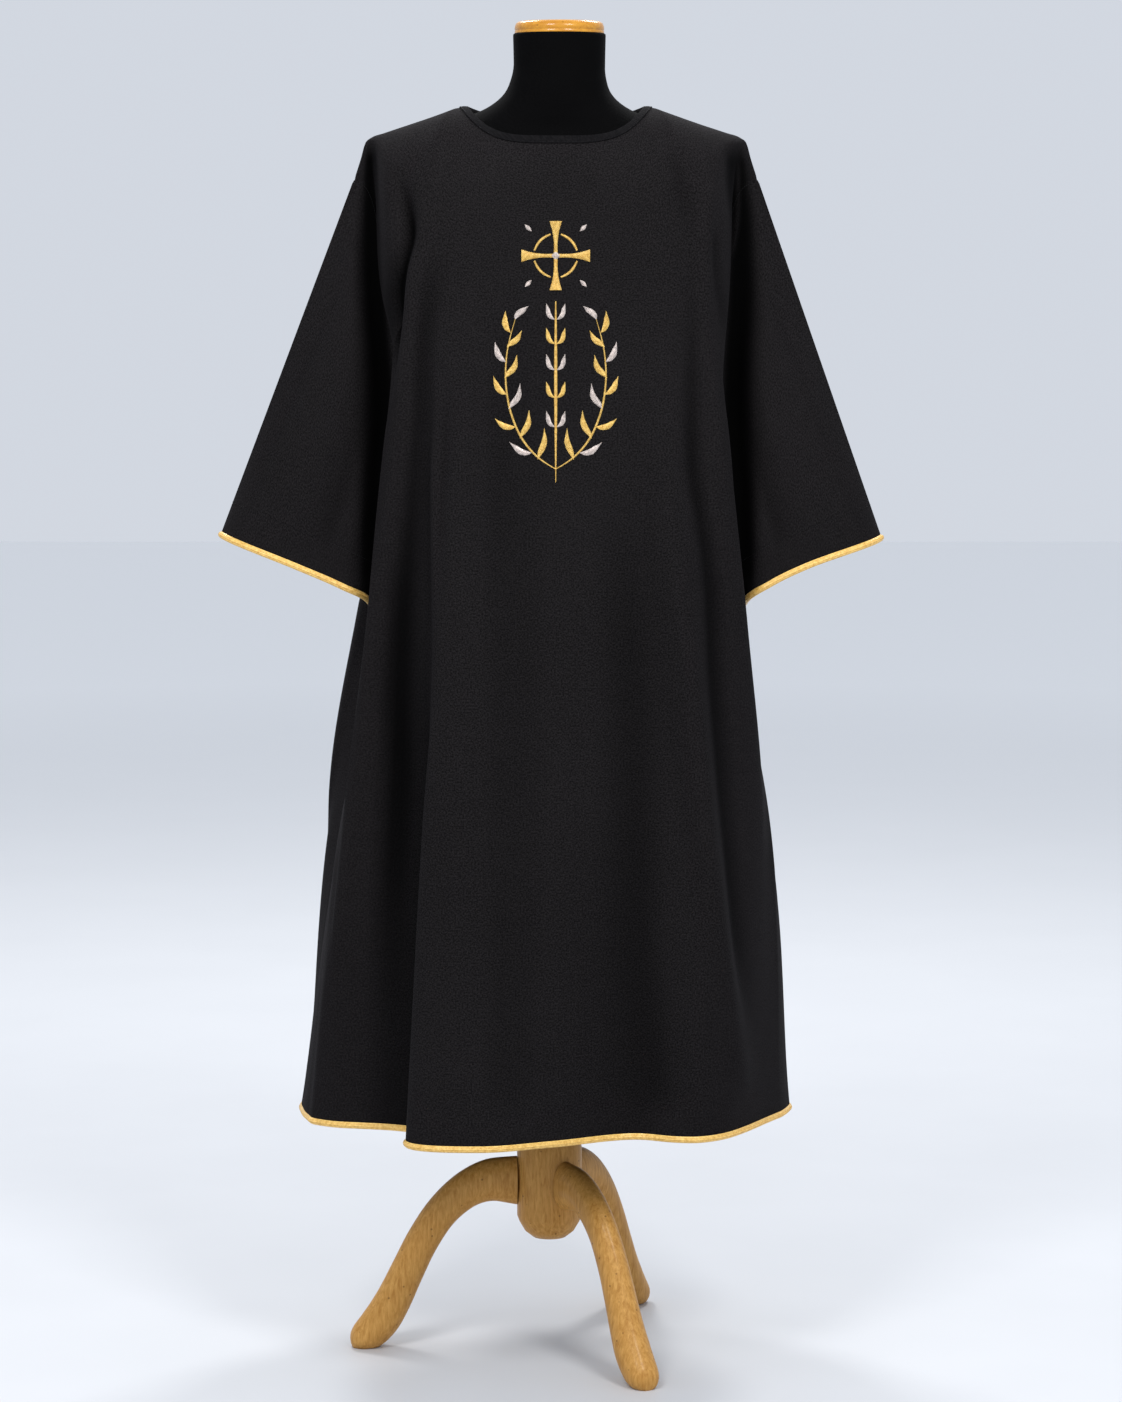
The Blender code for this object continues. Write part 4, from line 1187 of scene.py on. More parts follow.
class Workshop:
    """Makes the scene's pieces and puts each in the object's collection."""

    def __init__(self) -> None:
        """Make the object's collection."""
        self.collection = bpy.data.collections.new("dressed_dalmatic")
        bpy.context.scene.collection.children.link(self.collection)

    def enter(self, name: str, mesh: Mesh, material: Material, slot: str,
              nodes: tuple = ()) -> bpy.types.Object:
        """Put a mesh in the scene as a piece of the object.

        Args:
            name: the piece's name.
            mesh: its mesh, in the frame's own place.
            material: its finish.
            slot: not used.
            nodes: the CAD nodes that it stands for.

        Returns:
            The new object.
        """
        piece = bpy.data.objects.new(name, mesh)
        mesh.materials.clear()
        mesh.materials.append(material)
        self.collection.objects.link(piece)
        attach(piece, "root")
        if nodes:
            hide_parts(*nodes)
        log.info("%s: %d faces", name, len(mesh.polygons))
        return piece

    @staticmethod
    def mesh(name: str, points: Array, faces: list, sharp: float = 50.0) -> Mesh:
        """A smooth mesh from its points and faces, turned outwards.

        Args:
            name: the mesh's name.
            points: its points.
            faces: the corners of each face.
            sharp: the angle in degrees past which an edge is sharp.

        Returns:
            The new mesh.
        """
        mesh = bpy.data.meshes.new(name)
        mesh.from_pydata(points.tolist(), [], faces)
        work = bmesh.new()
        work.from_mesh(mesh)
        bmesh.ops.recalc_face_normals(work, faces=work.faces)
        work.to_mesh(mesh)
        work.free()
        mesh.shade_smooth()
        mesh.set_sharp_from_angle(angle=math.radians(sharp))
        return mesh

    def loft(self, name: str, sections: Array, closed: bool) -> Mesh:
        """A surface through sections; a closed one is a ring, an open one has flat ends.

        Args:
            name: the mesh's name.
            sections: a grid of points, a row for each section.
            closed: whether the last section joins the first.

        Returns:
            The new mesh.
        """
        count, sides = sections.shape[:2]
        faces = grid_faces(count, sides, closed, tube=True).tolist()
        if not closed:
            faces += [list(range(sides)), [(count - 1) * sides + i for i in range(sides)]]
        return self.mesh(name, sections.reshape(-1, 3), faces)


def lay_weave(mesh: Mesh, flat: Array) -> None:
    """Give a mesh its Cloth UV map: the place of each of its points in the flat cloth, in metres.

    Args:
        mesh: the mesh.
        flat: a place for each of its points.
    """
    corners = np.empty(len(mesh.loops), np.int32)
    mesh.loops.foreach_get("vertex_index", corners)
    layer = mesh.uv_layers.new(name="Cloth")
    layer.data.foreach_set("uv", flat[corners].astype(np.float32).ravel())


def lay_weave_down(mesh: Mesh) -> None:
    """A UV map straight down on a mesh, for a weave that needs no cut.

    Args:
        mesh: the mesh.
    """
    places = np.empty(len(mesh.vertices) * 3, np.float32)
    mesh.vertices.foreach_get("co", places)
    across, deep, up = places.reshape(-1, 3).T
    lay_weave(mesh, np.stack([across + deep, up - deep], axis=1))


def cloth_mesh(name: str, outer: Array, normals: Array, hollow: Array, closed: bool) -> Mesh:
    """A thin wall of cloth under a grid of outer points.

    Args:
        name: the mesh's name.
        outer: the grid of outer points.
        normals: their directions out of the cloth.
        hollow: how much darker each point's colour is painted, in folds and furrows.
        closed: whether the last row joins the first.

    Returns:
        The mesh, with a UV map in metres along the cloth.
    """
    rows, columns = outer.shape[:2]
    below = rows * columns
    inner = outer - normals * CLOTH
    places = np.arange(below).reshape(rows, columns)
    borders = [np.append(line, line[0]) if closed else line for line in places.T[[0, -1]]]
    if not closed:
        borders += list(places[[0, -1]])
    edges = np.concatenate([np.stack([line[:-1], line[1:]], axis=1) for line in borders])
    rim = np.stack([edges[:, 0], edges[:, 1], edges[:, 1] + below, edges[:, 0] + below], axis=1)
    quads = grid_faces(rows, columns, closed)
    faces = np.concatenate([quads, quads[:, ::-1] + below, rim])
    mesh = Workshop.mesh(name, np.concatenate([outer.reshape(-1, 3), inner.reshape(-1, 3)]),
                         faces.tolist())
    across = run_lengths(outer, 1)
    across -= across[:, columns // 2][:, None]
    down = np.linalg.norm(np.diff(outer, axis=0), axis=2).mean(axis=1).cumsum()
    down = np.broadcast_to(np.concatenate([[0.0], down])[:, None], across.shape)
    flat = np.stack([across, down], axis=-1).reshape(-1, 2)
    lay_weave(mesh, np.concatenate([flat, flat]))
    # painted shade, stored on both walls for the cloth's colour
    shade = mesh.attributes.new("Hollow", "FLOAT", "POINT")
    shade.data.foreach_set("value", np.tile(hollow.ravel(), 2).astype(np.float32))
    return mesh


# ---- threads by Geometry Nodes ---------------------------
class ThreadShape(Enum):
    """The form of one thread along a guide line."""

    ARCH = "a low arch across the line"
    RING = "a slanted turn round the line"


@dataclass
class Guide:
    """A line that threads are laid along, with a direction and a size at each point."""

    points: Array
    side: Array     # along each thread
    up: Array
    half: Array     # half length of each thread
    ring: bool = False

    @classmethod
    def loop(cls, points: Array, ups: Array, half: float) -> "Guide":
        """A closed line whose threads lie along it."""
        return cls(points, tangents(points, True), ups, np.full(len(points), half), True)


class ThreadRows:
    """Lays one thread at every pitch along guide lines, with Geometry Nodes."""

    INPUTS = {"Geometry": "Geometry", "Pitch": "Float", "Radius": "Float", "Rise": "Float",
              "Slant": "Float", "Jitter": "Float", "Seed": "Int", "Finish": "Material"}
    FIELDS = (("side", "FLOAT_VECTOR", "vector"), ("up", "FLOAT_VECTOR", "vector"),
              ("half", "FLOAT", "value"))

    def __init__(self, shape: ThreadShape, sides: int, steps: int) -> None:
        """Make the tree and its named inputs.

        Args:
            shape: the form of a thread.
            sides: sides of its round section.
            steps: steps along it.
        """
        self.tree = bpy.data.node_groups.new(f"Threads {shape.name.lower()}", "GeometryNodeTree")
        add_socket = self.tree.interface.new_socket
        self.sockets = {
            name: add_socket(name=name, in_out="INPUT", socket_type=f"NodeSocket{kind}").identifier
            for name, kind in self.INPUTS.items()}
        add_socket(name="Geometry", in_out="OUTPUT", socket_type="NodeSocketGeometry")
        self._build(shape, sides, steps)

    def _build(self, shape: ThreadShape, sides: int, steps: int) -> None:
        """Draw the node tree.

        Args:
            shape: the form of a thread.
            sides: sides of its round section.
            steps: steps along it.
        """
        sketch = Sketch(self.tree)
        out = sketch.out
        given = sketch.add("NodeGroupInput").outputs
        line = out("GeometryNodeMeshToCurve", {"Mesh": given["Geometry"]})
        points = out("GeometryNodeResampleCurve", {"Curve": line, "Length": given["Pitch"]},
                     mode="LENGTH")
        if shape is ThreadShape.ARCH:
            height = sketch.math("MULTIPLY", given["Rise"], 2.0)
            path = out("GeometryNodeCurveQuadraticBezier", {
                "Resolution": steps, "Start": (-1.0, 0.0, 0.0),
                "Middle": out("ShaderNodeCombineXYZ", {"Z": height}), "End": (1.0, 0.0, 0.0)})
        else:
            turn = out("GeometryNodeCurvePrimitiveCircle", {
                "Resolution": steps, "Radius": given["Rise"]})
            upright = out("GeometryNodeTransform", {
                "Geometry": turn, "Rotation": (0.0, math.pi / 2, 0.0)})
            lean = out("ShaderNodeCombineXYZ", {"Z": given["Slant"]})
            path = out("GeometryNodeTransform", {"Geometry": upright, "Rotation": lean})
        profile = out("GeometryNodeCurvePrimitiveCircle", {
            "Resolution": sides, "Radius": given["Radius"]})
        thread = out("GeometryNodeCurveToMesh", {
            "Curve": path, "Profile Curve": profile, "Fill Caps": True})
        side, up, half = (
            out("GeometryNodeInputNamedAttribute", {"Name": name}, data_type=kind)
            for name, kind, _ in self.FIELDS)
        turned = out("FunctionNodeAxesToRotation", {"Primary Axis": side, "Secondary Axis": up},
                     primary_axis="X", secondary_axis="Z")
        low, high = (sketch.math(sign, 1.0, given["Jitter"]) for sign in ("SUBTRACT", "ADD"))
        chance = sketch.add("FunctionNodeRandomValue", data_type="FLOAT")
        least, most, *_ = [place for place, socket in enumerate(chance.inputs) if socket.enabled]
        sketch.fill(chance, {least: low, most: high, "Seed": given["Seed"]})
        amount = next(socket for socket in chance.outputs if socket.enabled)
        long = sketch.math("MULTIPLY", half, amount)
        laid = out("GeometryNodeInstanceOnPoints", {
            "Points": points, "Instance": thread, "Rotation": turned,
            "Scale": out("ShaderNodeCombineXYZ", {"X": long, "Y": 1.0, "Z": 1.0})})
        real = out("GeometryNodeRealizeInstances", {"Geometry": laid})
        soft = out("GeometryNodeSetShadeSmooth", {"Geometry": real})
        finished = out("GeometryNodeSetMaterial", {"Geometry": soft, "Material": given["Finish"]})
        sketch.add("NodeGroupOutput", {"Geometry": finished})

    def lay(self, name: str, guides: list, finish: Material, **values: float) -> Mesh:
        """Lay threads along guide lines.

        Args:
            name: the new mesh's name.
            guides: one Guide for each line.
            finish: the threads' material.
            values: the tree's named inputs.

        Returns:
            The threads as one plain mesh.
        """
        start, edges = 0, []
        for guide in guides:
            count = len(guide.points)
            edges += [(start + i, start + i + 1) for i in range(count - 1)]
            if guide.ring:
                edges.append((start + count - 1, start))
            start += count
        base = bpy.data.meshes.new(name + "_guides")
        base.from_pydata(np.concatenate([guide.points for guide in guides]).tolist(), edges, [])
        for key, kind, slot in self.FIELDS:
            data = np.concatenate([getattr(guide, key) for guide in guides])
            attribute = base.attributes.new(key, kind, "POINT")
            attribute.data.foreach_set(slot, data.astype(np.float32).ravel())
        holder = placed(name + "_guides", base)
        modifier = holder.modifiers.new("Threads", "NODES")
        modifier.node_group = self.tree
        for key, value in {**values, "Finish": finish}.items():
            modifier[self.sockets[key]] = value
        graph = bpy.context.evaluated_depsgraph_get()
        mesh = bpy.data.meshes.new_from_object(holder.evaluated_get(graph), depsgraph=graph)
        mesh.name = name
        bpy.data.objects.remove(holder, do_unlink=True)
        bpy.data.meshes.remove(base)
        return mesh


# ---- the garment -----------------------------------------
@dataclass(frozen=True)
class SheetCut:
    """The flat cut of one cloth piece: its width and length, and the area of its shape."""

    width: float
    length: float
    area: float

    def declare(self, piece: bpy.types.Object, held: str, rests_on: list) -> None:
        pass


SHEET_CUTS = {
    "front_panel": SheetCut(0.97, 1.35, 0.984),
    "back_panel": SheetCut(0.92, 1.35, 0.961),
    "sleeve_right": SheetCut(0.82, 0.48, 0.165),
    "sleeve_left": SheetCut(0.82, 0.48, 0.165),
    "neck_binding": SheetCut(0.64, 0.026, 0.0164),
}


@dataclass
class Garment:
    """The dalmatic: panels, sleeves, neck binding, piping, stitching and embroidery."""

    workshop: Workshop
    finishes: Finishes
    binding_width: float = 0.009
    binding_cloth: float = 0.0009
    binding_gap: float = 0.0008       # between the binding and the cloth that it encloses
    binding_puff: float = 0.0003      # how far the strip swells between its edge and its fold
    binding_press: float = 0.0002     # how far its edge is pressed down
    binding_round: float = 0.7        # how full the corners of its fold are
    binding_stitch: float = 0.22      # place of its stitches, from its edge to its middle
    piping_radius: float = 0.0044
    piping_lap: float = 0.0003        # how far the turns of thread reach up to the cloth's edge
    core_radius: float = 0.004
    core_ridge: float = 0.00032       # height of its ridges
    core_ridges: int = 10
    core_sides: int = 60
    turn_radius: float = 0.00032      # of the thread that is wound round the core
    turn_round: float = 0.00406       # radius of each turn
    turn_pitch: float = 0.0014
    turn_slant: float = 0.55
    stitch_pitch: float = 0.003
    stitch_half: float = 0.0011       # half length of a stitch
    hem_stitch_half: float = 0.001
    stitch_rise: float = 0.0003
    stitch_jitter: float = 0.08
    stitch_lift: float = 0.0001       # how high a stitch starts over the cloth
    stitch_from_seam: float = 0.0045
    thread_radius: float = 0.00022
    hem_fold: float = 0.04            # width of the turned hem of a sleeve
    corrections: int = 6              # of a length that is measured over the cloth
    above: float = 2.0                # a height over everything

    def __post_init__(self) -> None:
        """Shape the cloth, and get the threads ready."""
        self.drape = Drape()
        self.stitches = ThreadRows(ThreadShape.ARCH, sides=4, steps=3)
        self.turns = ThreadRows(ThreadShape.RING, sides=3, steps=12)

    def build(self) -> None:
        """Make every piece of the garment."""
        self._cloth()
        self._binding()
        self._piping()
        self._seam_stitches()
        Embroidery(self.workshop, self.finishes, self.drape).build()

    def _cloth(self) -> None:
        """The panels and sleeves as walls of cloth."""
        drape = self.drape
        for name, key in (("front_panel", "front"), ("back_panel", "back"),
                          ("sleeve_right", "right"), ("sleeve_left", "left")):
            mesh = cloth_mesh(name + "_cloth", drape.points[key], drape.normals[key],
                              drape.painted_shades[key], key in SLEEVES)
            piece = self.workshop.enter(name + "_cloth", mesh, self.finishes.wool, "wool", (name,))
            rests_on = ["front_panel", "back_panel"] if key in SLEEVES else ["form_torso"]
            SHEET_CUTS[name].declare(piece, "hung", rests_on)

    def _neckline(self) -> tuple:
        """The neckline's edge, normals and directions away from it, all the way round.

        Returns:
            Three arrays, with a row for each point.
        """
        drape = self.drape
        opening = np.flatnonzero(abs(drape.stations) <= NECK_STATION + 1e-9)
        edge, up = (
            np.concatenate([grids["front"][0, opening], grids["back"][0, opening[-2:0:-1]]])
            for grids in (drape.points, drape.normals))
        for place, column in ((0, opening[0]), (len(opening) - 1, opening[-1])):
            edge[place] = sum(drape.points[name][0, column] for name in PANELS) / 2
        along = strides(edge, True)
        away = unit(np.stack([-along[:, 1], along[:, 0], np.zeros(len(along))], axis=1))
        return edge, up, away * np.sign((away * (edge - edge.mean(axis=0))).sum(axis=1))[:, None]

    def _binding(self) -> None:
        """The folded bias strip that encloses the neckline, and its row of stitches."""
        near, far = self.binding_gap, self.binding_gap + self.binding_cloth
        puffed, turned = far + self.binding_puff, far * self.binding_round
        sections, rows, row_ups = [], [], []
        for start, normal, out in zip(*self._neckline()):
            middle, middle_up = self._lay_on(start, out, self.binding_width / 2)
            end, end_up = self._lay_on(start, out, self.binding_width)
            inward = unit(start - middle)
            sections.append([
                end + end_up * (far - self.binding_press), middle + middle_up * puffed,
                start + inward * turned + normal * far,
                start + inward * puffed - normal * CLOTH / 2,
                start + inward * turned - normal * (CLOTH + far),
                middle - middle_up * (CLOTH + far), end - end_up * (CLOTH + far),
                end - end_up * (CLOTH + near), middle - middle_up * (CLOTH + near),
                start + inward * near - normal * (CLOTH + near),
                start + inward * near + normal * near,
                middle + middle_up * near, end + end_up * near,
            ])
            rows.append(end + (middle - end) * self.binding_stitch + end_up * far)
            row_ups.append(end_up)
        mesh = self.workshop.loft("neck_binding_cloth", np.array(sections), True)
        lay_weave_down(mesh)
        piece = self.workshop.enter("neck_binding_cloth", mesh, self.finishes.binding, "binding",
                                    ("neck_binding",))
        SHEET_CUTS["neck_binding"].declare(
            piece, "folded", ["front_panel_cloth", "back_panel_cloth"])
        self._stitch("neck_stitches", np.array(rows), np.array(row_ups), self.stitch_half)

    def _lay_on(self, start: Array, away: Array, run: float) -> tuple:
        """The point and normal on the shell a run away from its edge, measured along it.

        Args:
            start: a point of the edge.
            away: the way to go, seen from above.
            run: how far to go.

        Returns:
            The point and the normal.
        """
        reach = run
        for _ in range(self.corrections):
            above = (start[0] + away[0] * reach, start[1] + away[1] * reach + 1e-5, self.above)
            point, normal = self.drape.shell.ray_cast(above, (0.0, 0.0, -1.0))[:2]
            reach *= run / np.linalg.norm(np.array(point) - start)
        return np.array(point), np.array(normal) * math.copysign(1.0, normal.z)

    def _stitch(self, name: str, points: Array, ups: Array, half: float) -> None:
        """A closed row of black machine stitches.

        Args:
            name: the piece's name.
            points: the line.
            ups: its normals.
            half: half length of a stitch.
        """
        mesh = self.stitches.lay(
            name, [Guide.loop(points, ups, half)], self.finishes.thread, Pitch=self.stitch_pitch,
            Radius=self.thread_radius, Rise=self.stitch_rise, Jitter=self.stitch_jitter, Seed=3)
        self.workshop.enter(name, mesh, self.finishes.thread, "wool")

    def _piping(self) -> None:
        """The gold piping along the hem and the cuffs."""
        points, normals = self.drape.points, self.drape.normals
        middles = {name: points[name] - normals[name] * CLOTH / 2 for name in points}
        away = self.piping_radius - self.piping_lap
        hem, ups = (np.concatenate([grids["front"][-1], grids["back"][-1][-2:0:-1]])
                    for grids in (middles, normals))
        self._cord("hem_piping", hem - (0, 0, away), ups)
        for name in SLEEVES:
            onward = unit(points[name][:, -1] - points[name][:, -2])
            self._cord(f"cuff_piping_{name}", middles[name][:, -1] + onward * away,
                       normals[name][:, -1])

    def _cord(self, name: str, line: Array, ups: Array) -> None:
        """One loop of piping: a ridged core with fine slanted turns of thread round it.

        Args:
            name: the cord's name.
            line: its middle line.
            ups: a direction away from the cloth at each point.
        """
        along = tangents(line, True)
        ups = unit(without(ups, along))
        across = np.cross(along, ups)
        angles = circle(self.core_sides)
        radius = self.core_radius + self.core_ridge * np.cos(angles * self.core_ridges)
        sections = (line[:, None] + (radius * np.cos(angles))[None, :, None] * ups[:, None]
                    + (radius * np.sin(angles))[None, :, None] * across[:, None])
        core = self.workshop.loft(name + "_core", sections, True)
        self.workshop.enter(name + "_core", core, self.finishes.piping, "piping", (name,))
        mesh = self.turns.lay(
            name + "_turns", [Guide.loop(line, ups, 1.0)], self.finishes.piping,
            Pitch=self.turn_pitch, Radius=self.turn_radius, Rise=self.turn_round,
            Slant=self.turn_slant, Jitter=0.0, Seed=1)
        self.workshop.enter(name + "_turns", mesh, self.finishes.piping, "piping")

    def _seam_stitches(self) -> None:
        """Rows of stitches beside the sleeve seams and along the turned sleeve hems."""
        for name in SLEEVES:
            grids = self.drape.points[name], self.drape.normals[name]
            lengths = run_lengths(grids[0], 1)
            for label, runs, half in (
                ("seam", lengths[:, 0] + self.stitch_from_seam, self.stitch_half),
                ("hem", lengths[:, -1] - self.hem_fold, self.hem_stitch_half),
            ):
                points, ups = (np.array([
                    [np.interp(at, length, row[:, i]) for i in range(3)]
                    for at, length, row in zip(runs, lengths, rows)]) for rows in grids)
                ups = unit(ups)
                self._stitch(f"sleeve_{name}_{label}_stitches", points + ups * self.stitch_lift,
                             ups, half)


# ---- embroidery ------------------------------------------
@dataclass(frozen=True)
class Satin:
    """One band of satin stitch, in millimetres from the motif's centre."""

    path: tuple            # (across, up) along its spine
    widths: tuple          # half widths at even steps along it
    slant: float = 0.0     # of its threads, in degrees from square across the band
    silver: bool = False
    lift: float = 0.0      # how far it lies over the bands that it crosses, in metres

    def pair(self) -> tuple:
        """The band and its mirror image."""
        other = replace(self, path=tuple((-x, z) for x, z in self.path), slant=-self.slant)
        return self, other


# Leaves of the sprays: start, bend, tip, and whether one is silver.
LEAVES = (
    ((22, -138), (14, -118), (14, -100), False), ((30, -130), (45, -129), (57, -117), True),
    ((44, -112), (34, -96), (33, -78), False), ((50, -98), (66, -98), (75, -88), False),
    ((58, -76), (46, -62), (44, -45), True), ((61, -58), (73, -50), (77, -36), False),
    ((63, -38), (51, -26), (48, -10), False), ((62, -18), (73, -8), (75, 6), True),
    ((60, 0), (49, 8), (42, 20), False), ((56, 18), (64, 30), (62, 44), False),
    ((50, 34), (44, 44), (34, 50), True),
)


@dataclass
class Embroidery:
    """A symmetric ornament in gold and silver satin stitch on the chest."""

    workshop: Workshop
    finishes: Finishes
    drape: Drape
    centre: tuple = (0.0045, 1.3)     # (x, height)
    cross: float = 112                # height of the cross's middle over it, in millimetres
    ring: float = 27                  # radius of the ring round the cross
    leaf_slant: float = 38.0
    spine_step: float = 1.5
    lift: float = 0.0002              # of the threads' feet over the cloth
    thread_radius: float = 0.0003
    thread_pitch: float = 0.00052
    thread_rise: float = 0.0011
    thread_jitter: float = 0.05
    # The padding across a band: places as shares of its half width, and heights.
    spots: tuple = (-0.96, -0.6, 0.0, 0.6, 0.96)
    domes: tuple = (-0.0004, 0.0006, 0.001, 0.0006, -0.0004)

    def __post_init__(self) -> None:
        """Get the ground and the threads ready."""
        self.surface = self.drape.surface("front")
        self.threads = ThreadRows(ThreadShape.ARCH, sides=3, steps=4)

    def _cross(self) -> list:
        """An equal-armed cross with flared ends, in a ring of four arcs.

        Returns:
            Its bands.
        """
        bands = []
        for quarter in range(4):
            turn = math.radians(90 * quarter)
            ahead, aside = (math.sin(turn), math.cos(turn)), (math.cos(turn), -math.sin(turn))

            def place(run: float, out: float, ahead: tuple = ahead,
                      aside: tuple = aside) -> tuple:
                """A point of the cross, a run along this arm and out to its side."""
                return (ahead[0] * run + aside[0] * out,
                        self.cross + ahead[1] * run + aside[1] * out)

            arc = [place(self.ring * math.cos(angle), self.ring * math.sin(angle))
                   for angle in np.radians(np.linspace(14, 76, 9))]
            bands += [
                Satin((place(1, 0), place(20, 0), place(42, 0)), (2.6, 2.2, 2.4, 3.4, 5.0, 7.6),
                      lift=0.0005),
                Satin(tuple(arc), (1.1, 1.5, 1.6, 1.5, 1.1)),
                Satin((place(30, 30), place(38, 38)), (0.4, 2.6, 0.4), silver=True),
            ]
        knot = ((-5, self.cross), (5, self.cross))
        return bands + [Satin(knot, (0.5, 5.0, 0.5), silver=True, lift=0.0013)]

    def _motif(self) -> list:
        """Every band of the ornament: the cross, a stem with buds, and two sprays of leaves.

        Returns:
            The bands, in the order in which they are sewn.
        """
        bands = self._cross()
        bands.append(Satin(((0, 56), (0, -30), (0, -112), (0, -166)),
                           (0.8, 1.5, 1.9, 2.0, 1.7, 1.2, 0.6)))
        for height, silver in ((34, True), (4, False), (-28, True), (-62, False), (-98, True)):
            bands += Satin(((1.5, height), (9, height + 5), (11.5, height + 19)),
                           (0.4, 2.0, 3.0, 2.8, 1.6, 0.3), self.leaf_slant, silver).pair()
        spray = ((0, -150), (22, -138), (44, -112), (58, -76), (63, -38), (60, 0), (50, 34))
        bands += Satin(spray, (0.7, 1.3, 1.4, 1.3, 1.1, 0.9, 0.5)).pair()
        for *path, silver in LEAVES:
            bands += Satin(tuple(path), (0.4, 2.4, 3.7, 3.8, 2.8, 1.4, 0.3), self.leaf_slant,
                           silver).pair()
        return bands

    def _spine(self, band: Satin) -> Guide:
        """Lay a band's spine on the cloth, with its threads' directions and lengths.

        Args:
            band: the band.

        Returns:
            The guide for its threads.
        """
        path = np.array(band.path, float)
        chord = run_lengths(path, 0)
        count = max(6, int(chord[-1] / self.spine_step))
        share = np.linspace(0.0, 1.0, count)
        # A curve through the spine's points, rounded by a few passes.
        line = np.stack([np.interp(share * chord[-1], chord, path[:, i]) for i in (0, 1)], axis=1)
        line = eased(line, count)
        widths = smooth(np.linspace(0.0, 1.0, len(band.widths)), band.widths, share) / MM
        points, ups = [], []
        for across, up in line / MM:
            start = (self.centre[0] + across, -1.0, self.centre[1] + up)
            point, normal = self.surface.ray_cast(start, (0.0, 1.0, 0.0))[:2]
            normal = np.array(normal) * math.copysign(1.0, -normal.y)
            points.append(np.array(point) + normal * (self.lift + band.lift))
            ups.append(normal)
        points, ups = np.array(points), np.array(ups)
        along = tangents(points, False)
        side = unit(np.cross(ups, along))
        slant = math.radians(band.slant)
        side = unit(side * math.cos(slant) + along * math.sin(slant))
        return Guide(points, side, ups, widths / math.cos(slant))

    def _padding(self, guides: list) -> Mesh:
        """Low domed strips under the threads, so that no cloth shows between them.

        Args:
            guides: the bands' guides.

        Returns:
            One mesh for all of them.
        """
        points, faces = [], []
        spots, domes = np.array(self.spots), np.array(self.domes)
        for guide in guides:
            reach = (guide.half[:, None] * spots)[..., None]
            rows = (guide.points[:, None] + guide.side[:, None] * reach
                    + guide.up[:, None] * domes[None, :, None])
            faces += (grid_faces(len(rows), len(spots), False) + len(points)).tolist()
            points += rows.reshape(-1, 3).tolist()
        return self.workshop.mesh("padding", np.array(points), faces)

    def build(self) -> None:
        """Make the ornament's pieces."""
        bands = self._motif()
        for name, silver, finish in (("gold", False, self.finishes.gold),
                                     ("silver", True, self.finishes.silver)):
            guides = [self._spine(band) for band in bands if band.silver is silver]
            padding = self._padding(guides)
            self.workshop.enter(f"embroidery_{name}_padding", padding, finish, "piping")
            mesh = self.threads.lay(
                f"embroidery_{name}", guides, finish, Pitch=self.thread_pitch,
                Radius=self.thread_radius, Rise=self.thread_rise, Jitter=self.thread_jitter,
                Seed=11)
            self.workshop.enter(f"embroidery_{name}", mesh, finish, "piping")


